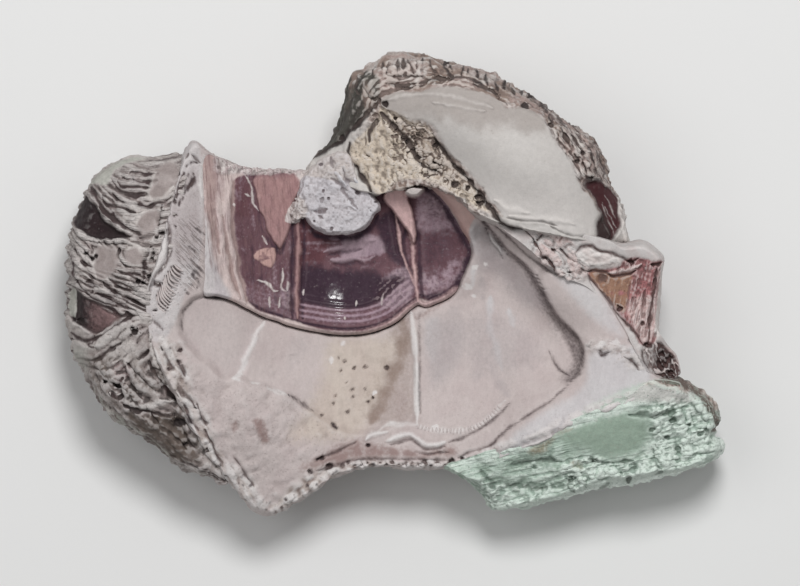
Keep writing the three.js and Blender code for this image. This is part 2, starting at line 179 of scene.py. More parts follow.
class Plan:
    """A surface's points seen from above, kept in square bins so that a curve only visits the points near
    it."""

    def __init__(self, x, y):
        self.x, self.y = x, y
        self.low = np.array([x.min(), y.min()]) - BIN
        self.columns = int((y.max() - self.low[1]) / BIN) + 2
        self.rows = int((x.max() - self.low[0]) / BIN) + 2
        key = ((x - self.low[0]) // BIN).astype(int) * self.columns + ((y - self.low[1]) // BIN).astype(int)
        self.uneven, self.frayed = (noise(level(x, y), size, 305) for size in (1.5, 0.45))
        self.order = np.argsort(key, kind="stable")
        self.start = np.searchsorted(key[self.order], np.arange(self.rows * self.columns + 1))

    def near(self, path, reach):
        """The points in the bins that a path touches, and in those within reach of them."""
        dense = point_at(path, np.linspace(0, 1, int(lengths_along(path)[-1] / BIN * 2) + 2))
        cells = ((dense - self.low) // BIN).astype(int)
        touched = np.zeros((self.rows, self.columns), bool)
        around = int(reach / BIN) + 1
        for dx in range(-around, around + 1):
            for dy in range(-around, around + 1):
                row, column = cells[:, 0] + dx, cells[:, 1] + dy
                kept = (row >= 0) & (row < self.rows) & (column >= 0) & (column < self.columns)
                touched[row[kept], column[kept]] = True
        found = [self.order[self.start[k] : self.start[k + 1]] for k in np.flatnonzero(touched)]
        return np.concatenate(found) if found else np.zeros(0, int)

    def to_curve(self, path, reach):
        """Each point's distance to a path, no more than reach, and the path's length at the nearest place."""
        distance = np.full(self.x.shape, float(reach))
        place = np.zeros(self.x.shape)
        index = self.near(path, reach)
        if not index.size:
            return distance, place
        p = np.stack((self.x[index], self.y[index]), 1)
        best = np.full(index.size, float(reach) ** 2)
        at = np.zeros(index.size)
        length = lengths_along(path)
        for k in range(len(path) - 1):
            step = path[k + 1] - path[k]
            t = np.clip(((p - path[k]) @ step) / max(step @ step, 1e-9), 0, 1)
            off = p - path[k] - t[:, None] * step
            away = (off * off).sum(1)
            closer = away < best
            best[closer] = away[closer]
            at[closer] = (length[k] + t * (length[k + 1] - length[k]))[closer]
        distance[index] = np.sqrt(best)
        place[index] = at
        return distance, place

    def line(self, points, width):
        """1 on a curve, falling off as a bell of about the given half width, which varies a little along the
        curve and thins out to each end."""
        path = curve_through(points)
        distance, place = self.to_curve(path, 3 * width)
        length = lengths_along(path)[-1]
        to_end = np.minimum(place, length - place) / min(LINE_TIP, 0.45 * length)
        own_width = width * np.sqrt(np.clip(to_end + 0.08, 0, 1)) * (1 + 0.35 * self.uneven)
        bell = np.exp(-((distance / own_width) ** 2)) * (0.88 + 0.2 * self.uneven)
        return np.where(distance < 3 * width, np.minimum(bell, 1.0), 0.0)

    def lines(self, curves, width):
        """The largest of the values of several lines of one width."""
        return np.max([self.line(points, width) for points in curves], axis=0)

    def inside(self, path):
        """True where a ray to +X crosses the closed path an odd number of times."""
        inside = np.zeros(self.x.shape, bool)
        (low_x, low_y), (high_x, high_y) = path.min(0), path.max(0)
        box = (self.x > low_x) & (self.x < high_x) & (self.y > low_y) & (self.y < high_y)
        index = np.flatnonzero(box)
        x, y = self.x[index], self.y[index]
        odd = np.zeros(index.size, bool)
        for (ax, ay), (bx, by) in zip(path[:-1], path[1:]):
            if ay != by:
                odd ^= ((ay > y) != (by > y)) & (x < ax + (y - ay) * (bx - ax) / (by - ay))
        inside[index] = odd
        return inside

    def region(self, points, wall):
        """0 outside a closed curve, 1 inside it, with a smooth step of the given width along it."""
        path = curve_through(points, closed=True)
        distance, _ = self.to_curve(path, wall / 2 + 0.01)
        return smooth(-wall / 2, wall / 2, np.where(self.inside(path), distance, -distance))

    def spots(self, places, radius):
        """1 in round spots, each at (x, y) or (x, y, its own size), with a soft edge."""
        total = np.zeros(self.x.shape)
        for x, y, *own in places:
            size = radius * (own[0] if own else 1.0)
            away = np.hypot(self.x - x, 1.25 * (self.y - y)) * (1 + 0.4 * self.frayed)
            total = np.maximum(total, smooth(1.35 * size, 0.65 * size, away))
        return total


def blend_spots(spots, spread, x, y):
    """The smooth ground through spot heights (x, y, z): each counts by a bell of its distance."""
    total, weights = 0.0, 0.0
    for spot_x, spot_y, height in spots:
        squared = (x - spot_x) ** 2 + (y - spot_y) ** 2
        weight = np.exp(-squared / (2 * spread**2)) + 1e-7 / (1 + squared)
        total = total + weight * height
        weights = weights + weight
    return total / weights


def crumple(p, lie, size, seed=0):
    """Creased noise from 0 in the creases to about 1: the size of two noises, drawn out along the direction
    lie, which is a turn in degrees from +X with the stretch along it and across it."""
    turn, along, across = np.radians(lie[0]), lie[1], lie[2]
    u = (np.cos(turn) * p[:, 0] + np.sin(turn) * p[:, 1]) / along
    v = (np.cos(turn) * p[:, 1] - np.sin(turn) * p[:, 0]) / across
    q = np.stack((u, v, p[:, 2]), 1)
    return np.abs(noise(q, size, seed)) * 1.3 + 0.6 * np.abs(noise(q, 0.5 * size, seed + 1))


def fanned_ribs(apex, count, x, y):
    """Waves of the direction seen from a shell's own apex, from -1 to 1."""
    return np.sin(count * np.arctan2(y - apex[1], x - apex[0]))


# ---------------------------------------------------------------- closed surfaces


def square_to_disc(a, b):
    """Carries a square to a disc ring by ring: the larger coordinate gives the ring's share of the radius,
    and the ratio of the two gives the share of a turn."""
    flat = np.abs(a) > np.abs(b)
    radius = np.where(flat, a, b)
    safe = np.where(radius == 0, 1.0, radius)
    eighths = np.where(flat, b / safe, 2 - a / safe)
    turn = eighths / 8 + np.where(radius < 0, 0.5, 0.0)
    return np.abs(radius), turn % 1.0


def grid_faces(rows, columns, first=0):
    """Two triangles to each cell of a grid of points, rows by columns, counter-clockwise seen from +Z. Every
    cell is halved by the diagonal that points to the grid's centre, as the corners of the grid become flat
    angles on a disc."""
    at = first + np.arange(rows * columns).reshape(rows, columns)
    p, q, r, s = at[:-1, :-1], at[:-1, 1:], at[1:, 1:], at[1:, :-1]
    left = np.arange(rows - 1)[:, None] < (rows - 1) / 2
    low = np.arange(columns - 1)[None] < (columns - 1) / 2
    turned = (left != low)[..., None]
    one = np.where(turned, np.stack((p, q, s), -1), np.stack((p, q, r), -1))
    other = np.where(turned, np.stack((q, r, s), -1), np.stack((p, r, s), -1))
    return np.concatenate((one.reshape(-1, 3), other.reshape(-1, 3)))


def edge_of(n):
    """Indices of the edge points of an n by n grid of cells, counter-clockwise."""
    at = np.arange((n + 1) ** 2).reshape(n + 1, n + 1)
    return np.concatenate((at[0, :-1], at[:-1, -1], at[-1, :0:-1], at[:0:-1, 0]))


def softened(rim):
    """An outline with its corners smoothed away: at each step round it, the mean of a stretch of it, weighted
    by a bell that ends at nothing."""
    bell = np.hanning(2 * SOFTENED + 3)[1:-1] / np.hanning(2 * SOFTENED + 3).sum()
    around = point_at(rim, np.arange(-SOFTENED, TURN_STEPS + SOFTENED + 1) / TURN_STEPS % 1)
    return np.stack([np.convolve(around[:, k], bell, "valid") for k in (0, 1)], 1)


class Growth:
    """A closed surface over an outline: a square grid of cells seen from above as a disc of rings. A ring's
    place runs in equal steps from the centre to the start of the rounding, and then round a quarter of an
    ellipse to the widest edge; the underside does the same from below with half as many cells each way, and
    is sewn to the top's edge. Towards the centre the rings follow the softened outline, so that no corner
    draws the triangles thin. Curves are laid on it through its plan, whose places wander a little by noise,
    so that nothing drawn by them is quite straight or round; exact is without that. Near a place in tight (x,
    y, radius) the top's edge is nearly sharp."""

    def __init__(self, name, outline, centre, top_rounding, foot_rounding, cells, wandering=1.0, tight=()):
        self.name = name
        rim = curve_through(outline, closed=True, steps=RIM_STEPS)
        soft_rim = softened(rim)
        x, y, bulge, faces, is_top = [], [], [], [], []
        sides = ((cells, True, top_rounding, TOP_SHARE), (cells // 2, False, foot_rounding, FOOT_SHARE))
        for n, top, rounding, share in sides:
            b, a = np.meshgrid(*(2 * [2 * np.arange(n + 1) / n - 1]), indexing="ij")
            ring, turn = square_to_disc(a.ravel(), b.ravel())
            edge = point_at(rim, turn)
            reach = np.hypot(*(edge - centre).T)
            rounded = np.full(len(edge), float(rounding))
            for near_x, near_y, radius in tight if top else ():
                away = np.hypot(edge[:, 0] - near_x, edge[:, 1] - near_y)
                tightened = mix(min(SHARP_EDGE, rounding), rounding, smooth(0.6 * radius, radius, away))
                rounded = np.minimum(rounded, tightened)
            flat = np.maximum(1 - rounded / reach, 0.35)
            angle = np.clip((ring - 1 + share) / share, 0, 1) * np.pi / 2
            out = np.where(ring < 1 - share, ring / (1 - share) * flat, flat + (1 - flat) * np.sin(angle))
            step = np.arange(len(soft_rim))
            inner = np.stack([np.interp(turn * TURN_STEPS, step, soft_rim[:, k]) for k in (0, 1)], 1)
            place = centre + out[:, None] * (mix(inner, edge, smooth(0.45, 0.95, ring)[:, None]) - centre)
            first = sum(map(len, x))
            own = grid_faces(n + 1, n + 1, first)
            faces.append(own if top else own[:, ::-1])
            x.append(place[:, 0])
            y.append(place[:, 1])
            bulge.append(np.where(ring < 1 - share, 1.0, np.cos(angle)))
            is_top.append(np.full(len(place), top))
        self.x, self.y, self.bulge = (np.concatenate(v) for v in (x, y, bulge))
        self.is_top = np.concatenate(is_top)
        top_edge = edge_of(cells)
        foot_edge = edge_of(cells // 2) + (cells + 1) ** 2
        sewn = np.stack((top_edge[::2], np.roll(top_edge[::2], -1), top_edge[1::2]), 1)
        same = np.arange(len(self.x))
        same[foot_edge] = top_edge[::2]
        kept = np.ones(len(self.x), bool)
        kept[foot_edge] = False
        renumbered = np.cumsum(kept) - 1
        self.faces = renumbered[same[np.concatenate((*faces, sewn))]]
        self.x, self.y, self.bulge, self.is_top = (v[kept] for v in (self.x, self.y, self.bulge, self.is_top))
        self.exact = Plan(self.x, self.y)
        self.field = level(self.x, self.y)
        wander = [
            0.26 * noise(self.field, 1.9, k) + 0.13 * noise(self.field, 0.75, k + 1) for k in (301, 303)
        ]
        self.plan = Plan(self.x + wandering * wander[0], self.y + wandering * wander[1])
        self.masks = {}

    def raise_to(self, high, low):
        """Sets the heights from the relief on top and the underside."""
        low = np.maximum(low, 0.0)
        high = np.maximum(high, low + 1)
        middle = mix(low, high, WORN_RIM)
        self.points = np.stack((self.x, self.y, mix(middle, np.where(self.is_top, high, low), self.bulge)), 1)

    def push_out(self, amount):
        """Moves every point along its own normal."""
        self.points = self.points + amount[:, None] * vertex_normals(self.points, self.faces)

    def side_wall(self, low, high):
        """1 on the underside and at the top's edge, 0 where the top bulges more than low, and between them a
        step."""
        return np.where(self.is_top, smooth(low, high, self.bulge), 1.0)

    def mask(self, name, *parts):
        """Keeps the largest of the parts at each point, held between 0 and 1, for the material to find."""
        self.masks[name] = np.clip(largest(*parts), 0, 1)


def vertex_normals(points, faces):
    """The mean direction of the triangles that meet in each point, weighted by their areas."""
    a, b, c = (points[faces[:, k]] for k in range(3))
    flat = np.cross(b - a, c - a)
    normal = np.stack([
        sum(np.bincount(faces[:, k], flat[:, axis], len(points)) for k in range(3)) for axis in range(3)
    ], 1)
    return normal / np.maximum(np.linalg.norm(normal, axis=1), 1e-12)[:, None]


def hollowness(points, faces):
    """How far each point lies under the mean of the points round it: positive in a crevice and negative on a
    crest. The mean is taken over the triangles' edges, again and again, and the result is evened out for
    their lengths, as though every edge were of one length."""
    ends = np.concatenate((faces[:, [0, 1]], faces[:, [1, 2]], faces[:, [2, 0]]))
    count = np.maximum(np.bincount(ends[:, 0], minlength=len(points)), 1)
    mean = points
    for _ in range(HOLLOW_ROUNDS):
        mean = np.stack([
            np.bincount(ends[:, 0], mean[ends[:, 1], k], len(points)) / count for k in range(3)
        ], 1)
    squares = ((points[ends[:, 0]] - points[ends[:, 1]]) ** 2).sum(1)
    spacing = np.bincount(ends[:, 0], squares, len(points)) / count
    return ((mean - points) * vertex_normals(points, faces)).sum(1) * MEAN_EDGE**2 / np.maximum(spacing, 0.02)


def make_piece(name, points, faces, masks, material, node=None):
    """Puts a surface into a mesh object in the model's frame, rides it on the root body and stands it in for
    a solid."""
    mesh = bpy.data.meshes.new(name)
    place = (points + SURVEY_SHIFT) * MM
    place[:, 2] = np.maximum(place[:, 2], 0.0)
    mesh.vertices.add(len(place))
    mesh.vertices.foreach_set("co", place.astype(np.float32).ravel())
    mesh.loops.add(faces.size)
    mesh.loops.foreach_set("vertex_index", faces.astype(np.int32).ravel())
    mesh.polygons.add(len(faces))
    mesh.polygons.foreach_set("loop_start", np.arange(0, faces.size, 3, dtype=np.int32))
    mesh.polygons.foreach_set("use_smooth", np.ones(len(faces), bool))
    mesh.update(calc_edges=True)
    for mask, values in masks.items():
        mesh.attributes.new(mask, "FLOAT", "POINT").data.foreach_set("value", values.astype(np.float32))
    mesh.materials.append(material)
    piece = bpy.data.objects.new(name, mesh)
    bpy.context.scene.collection.objects.link(piece)
    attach(piece, "root")
    if node:
        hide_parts(node)
    return piece


def ground_under(growth, x, y):
    """The height of a growth's top at each place, that of the nearest of its points."""
    top = np.flatnonzero(growth.is_top)
    away = (growth.x[top][None] - x[:, None]) ** 2 + (growth.y[top][None] - y[:, None]) ** 2
    return growth.points[top[away.argmin(1)], 2]


def ridge_mesh(paths, half_width, height, steps=14, sides=8):
    """Low rounded ridges, one along each path of (x, y, z): the section is an ellipse, half sunk in the
    ground, and it swells from a point at each end to its full size in the middle. Returns all their points
    and triangles."""
    share = np.linspace(0, 1, steps)
    lines = np.array([point_at(curve_through(path), share) for path in paths])
    along = np.gradient(lines, axis=1)
    along = along / np.maximum(np.linalg.norm(along, axis=2), 1e-9)[..., None]
    across = np.stack((-along[..., 1], along[..., 0]), -1)
    swell = np.sqrt(np.sin(np.pi * np.clip(share, 0.002, 0.998)))
    turn = 2 * np.pi * np.arange(sides) / sides
    side = half_width * swell[None, :, None] * np.cos(turn)[None, None, :]
    plan = lines[:, :, None, :2] + side[..., None] * across[:, :, None, :]
    lift = height * swell[None, :, None] * np.sin(turn)[None, None, :]
    z = lines[:, :, None, 2] + lift
    points = np.concatenate((plan, z[..., None]), -1).reshape(-1, 3)
    ring = np.arange(steps * sides).reshape(steps, sides)
    a, b = ring[:-1], ring[1:]
    quads = np.stack((a, np.roll(a, -1, 1), np.roll(b, -1, 1), b), -1).reshape(-1, 4)
    body = np.concatenate((quads[:, [0, 1, 2]], quads[:, [0, 2, 3]]))
    fan = np.arange(1, sides - 1)
    caps = np.concatenate((
        np.stack((np.zeros_like(fan), fan + 1, fan), 1),
        np.stack((np.zeros_like(fan), fan, fan + 1), 1) + (steps - 1) * sides,
    ))
    one = np.concatenate((body, caps))
    faces = (one[None] + (np.arange(len(paths)) * steps * sides)[:, None, None]).reshape(-1, 3)
    return points, faces


# ---------------------------------------------------------------- the opened shell

MAIN_OUTLINE = [
    (47.6, -15.6), (45.2, -14.2), (43.4, -11.8), (40.6, -6.2), (36.8, 0), (33, 4.5), (28, 8.5), (21, 13.5),
    (13, 19), (4, 22.5), (-6, 24.5), (-13, 24), (-17.5, 22.3), (-23, 22.4), (-28, 22.8), (-32, 24.2),
    (-34.4, 25.4), (-37.2, 27.4), (-38.8, 25.4), (-40.5, 20), (-42.2, 13), (-44, 6), (-46, 0), (-46, -6),
    (-44, -12), (-41, -18), (-38, -24), (-34.5, -30), (-30.5, -34.5), (-27, -39), (-24, -40.3), (-20, -38.6),
    (-16, -36), (-11, -33), (-5, -31.6), (2, -31.9), (9, -31.6), (14, -31.7), (18.5, -30.3), (23, -28.2),
    (27, -26.8), (30, -24.6), (34, -22.6), (39, -21), (44, -19), (48.6, -17.8),
]
MAIN_SPOTS = [
    # the broken wall on the left, from its spike down to the lower corner
    (-37, 25, 31), (-40, 17, 33), (-42, 9, 34), (-44, 1, 33), (-44, -7, 31.5), (-41, -15, 29.5),
    (-36, -24, 26), (-31, -31, 21.5), (-24, -38, 17), (-36.5, 15, 31), (-37.5, 6, 31), (-38.5, -1, 30.5),
    (-40, -9, 29),
    # the slope down to the lining, and the rim of the mouth
    (-33.5, 20, 26.5), (-33, 10, 26.5), (-31, 2, 24.5), (-30, 22, 22.5), (-24, 21.5, 21), (-18, 21.5, 20.5),
    # the lining, deepest in the middle
    (-26, 14, 20.5), (-25, 5, 20), (-22, -2, 19.8), (-20, 14, 19.5), (-15, 12, 18), (-14, 3, 16.2),
    (-8, 6, 15), (-10, -4, 16.6), (-4, 12, 17), (-2, 2, 15.8), (4, 17, 19), (6, 10, 16), (7, 3, 16),
    (11, 8, 17), (-8, 20, 22),
    # the inner wall under the lining
    (-34, -4, 26.5), (-29, -9, 25), (-34, -11, 27.5), (-22, -9, 20.5), (-16, -11, 18.3), (-9, -11, 17),
    (-3, -12, 16.8), (-22, -17, 22.5), (-14, -20, 20), (-6, -20, 18), (-27, -20, 25.5), (-31, -20, 26.5),
    (-29, -27, 25.5), (-23, -30, 22.5), (-17, -29, 22), (-24, -34, 20.5),
    # the fan-shaped pocket on the right
    (3, -8, 16.5), (9, -6, 16.5), (15, -3, 17.5), (14, 5, 18.5), (20, 2, 19.5), (15, 11, 21.8),
    (9, -15, 16.8), (17, -13, 17.8), (24, -8, 20.5), (29, -10, 22.5), (24, -16, 21), (14, -20, 18.8),
    (5, -21, 17.6), (28.5, -14.5, 23),
    # the foot of the wall
    (-10, -27, 20), (-3, -27, 19.5), (4, -28, 20), (11, -27.5, 20.5), (-8, -31, 19.5), (6, -31, 19),
    # the smooth thick wall on the right
    (20, 10, 29), (25, 6, 29), (30, 1, 28.5), (36, -5, 28), (36, -13, 28.4), (42, -15, 28.2), (33, -20, 27.4),
    (26, -23.5, 26.2), (18, -27.5, 23.8), (40, -18.5, 27.6), (46, -17, 26.4), (13, -30.4, 20.6),
    (29, -25, 26.4), (12, 18, 27.5), (2, 22, 25),
]
MAIN_SPREAD = 4.2

LIP = [  # the free edge of the lining, from the broken wall round to the right of the mouth
    (-35, -0.5), (-33, -0.6), (-30, -1.5), (-27.5, -2.8), (-24.5, -4.3), (-22, -5.1), (-20, -5.9),
    (-15, -7), (-10, -7.6), (-5, -7.1), (-1, -5.5), (2, -3), (3.3, -2.2), (4.7, -2.6), (6.5, -2), (8.5, -1.1),
    (10.1, 0.2),
]
LINING_OUTLINE = LIP + [
    (11.2, 2.6), (12.2, 4.9), (13, 7.2), (12.5, 9.3), (11.4, 11.2), (10.2, 13.2), (9, 15.4), (7.6, 17.2),
    (5.8, 18.9), (3, 20), (-2, 20.6), (-8, 21.5), (-13.5, 22.6), (-17.5, 22.2), (-23, 22.3), (-28, 22.7),
    (-32, 24), (-35.2, 24.9), (-35.4, 20), (-35.4, 14), (-35.3, 8), (-35.4, 3.5),
]
MOUTH_WALL = [  # the edge of the smooth wall that hangs over the lining on the right
    (3.5, -0.2), (5.2, -0.7), (7, -0.6), (9, 0.2), (10.1, 1.2), (10.8, 3), (11.8, 5), (12.5, 7.2), (11.8, 9),
    (10.8, 10.8), (9.5, 12.8), (8.25, 15.05), (7, 16.8), (5.5, 18.3), (4, 19.1), (1, 19.4), (-2.6, 17.4),
]
LEFT_POCKET = [
    (-24.4, -4.4), (-25, -6), (-25.9, -8.7), (-27.1, -11.1), (-28.6, -14.7), (-30.1, -15.2), (-31.9, -15),
    (-33.7, -13.2), (-36.1, -11.4), (-38.6, -8.6), (-39.3, -6.2), (-39, -3.8), (-38, -2.2), (-36.8, -1),
    (-34, -0.2), (-31, -0.4), (-28, -1.8),
]
MIDDLE_POCKET = [
    (-24.2, -4.2), (-25, -6), (-25.9, -8.7), (-27.1, -11.1), (-28.6, -14.8), (-26.8, -16.2), (-25, -16.4),
    (-22.6, -17.4), (-20.2, -18.3), (-18.1, -19.5), (-15.5, -21.5), (-12.4, -23.6), (-9, -25.2), (-3, -24.6),
    (0, -23.6), (2.6, -23.4), (2.8, -14), (2.2, -3.4), (-1, -4.6), (-5, -6.2), (-10, -6.8), (-15, -6.2),
    (-20, -5), (-22, -4.3),
]
FAN_POCKET = [
    (32.7, -10), (32.7, -13), (30.9, -15.7), (27, -17.8), (21, -19.4), (18.6, -20.6), (16.6, -22.4),
    (14, -24), (12.3, -24.6), (7.2, -24.7), (3.6, -24.1), (3.5, -14), (3.7, -5.5), (4, -3.7), (5, -2.8),
    (7.5, -1), (10.2, 1), (12.6, 5), (13.6, 8), (13.3, 10.5), (14.4, 12.6), (16.6, 10.8), (19.1, 8),
    (22.9, 4.5), (25.6, 0.2), (28.2, -4.1), (31.7, -7.9),
]
FAN_EDGE = [
    (13.8, 14.5), (15, 12.8), (16.6, 11), (19.1, 8), (22.9, 4.5), (25.6, 0.2), (28.2, -4.1), (31.7, -7.9),
    (32.6, -9.4), (32.8, -11.4), (32.5, -13.7), (30.9, -15.7),
]
SCALLOPS = [  # the comb-like edge where the inner wall ends above its foot
    (-3.8, -24.8), (-2.5, -23.9), (0.2, -23.6), (3, -23.8), (5, -24.4), (9.8, -24.8), (12.3, -24.5),
    (14.4, -23.7), (16.2, -22.3), (17.6, -20.7), (19, -19.2),
]
PORE_PITS = [
    (-11.2, -11.7), (-10, -12.5), (-10.7, -14.1), (-8.2, -13.7), (-6.3, -13.5), (-2.3, -13.5, 1.7),
    (-8.6, -17.5), (-8.5, -18.8), (-4.9, -18.9, 1.2), (-5.8, -19.6), (-9.3, -21.6), (-14.2, -22), (-12, -20),
    (-11.5, -18.5), (-12.2, -23.6), (-11.6, -24.5), (-6.4, -17.2, 0.7), (-9.6, -16.2, 0.7),
    (-13.2, -17.4, 0.6),
]


def main_ground(x, y):
    return blend_spots(MAIN_SPOTS, MAIN_SPREAD, x, y)


def spread_between(first, last, count):
    """Curves in equal steps from one curve to another of as many points."""
    first, last = np.array(first, float), np.array(last, float)
    return [mix(first, last, t) for t in np.linspace(0, 1, count)]


COMB_ENDS = [
    [(-40.3, 5.2), (-39.8, 4.4), (-38.7, 3.8)], [(-41.9, 3.3), (-41.5, 1.3), (-40, -0.1)],
    [(-43.5, -0.4), (-43.3, -2.2), (-41.7, -3.6)],
]
COMB_RIDGES = (
    spread_between(COMB_ENDS[0], COMB_ENDS[1], 6)[:-1] + spread_between(COMB_ENDS[1], COMB_ENDS[2], 8)
)
COMB_GAPS = [mix(a, b, 0.5) for a, b in zip(COMB_RIDGES[:-1], COMB_RIDGES[1:])]
SCALLOP_LINE = curve_through(SCALLOPS)
TEETH_AT = point_at(SCALLOP_LINE, np.linspace(0.3, 0.93, 26))
TEETH_LIE = np.gradient(TEETH_AT, axis=0) / np.linalg.norm(np.gradient(TEETH_AT, axis=0), axis=1)[:, None]
TEETH_OUT = np.stack((TEETH_LIE[:, 1], -TEETH_LIE[:, 0]), 1)
SCALLOP_TEETH = np.stack((TEETH_AT - 0.4 * TEETH_OUT, TEETH_AT, TEETH_AT + 0.55 * TEETH_OUT), 1)
FINE_SCRATCHES = [
    [(-37.6, 10.8), (-36, 9.6), (-34.6, 7.8)], [(-37.6, 6.2), (-36, 4.4), (-34.8, 3.2)],
    [(-38, 5.2), (-36.6, 3.8), (-35.4, 2.6)], [(-37, 12), (-35, 10.4)], [(-38, 8.6), (-36.2, 7)],
    [(-37.4, 3.6), (-36.6, 2.4)], [(-36.4, 2.8), (-35.9, 1.6), (-36.4, 0.9)], [(-37.7, 2), (-36.8, 1.2)],
    [(-38.4, 0.6), (-37.6, -0.4)], [(-37.3, 4.1), (-36.8, 3.2)],
]
DARK_HATCH = [
    [(-39.9, 17), (-39.5, 19), (-38.7, 21.2)], [(-39.3, 17.2), (-38.9, 19.2), (-38.2, 20.6)],
    [(-38.6, 18.2), (-38.1, 19.6)], [(-36.9, 21.4), (-36.8, 20), (-37.4, 19)], [(-39.8, 15.4), (-39.1, 16.6)],
    [(-39.9, 20.8), (-39.4, 21.6)], [(-39.3, 19.6), (-38.6, 21.6)],
    [(-38.9, 17.4), (-37.6, 19.2), (-37.1, 20.6)], [(-39.7, 18.4), (-38.8, 18.1)],
    [(-39.4, 16.2), (-38.6, 17.2)], [(-37.9, 20.6), (-37.6, 21.5)],
    [(-38.3, 22.6), (-37.2, 23.4), (-36.4, 23.2)],
]


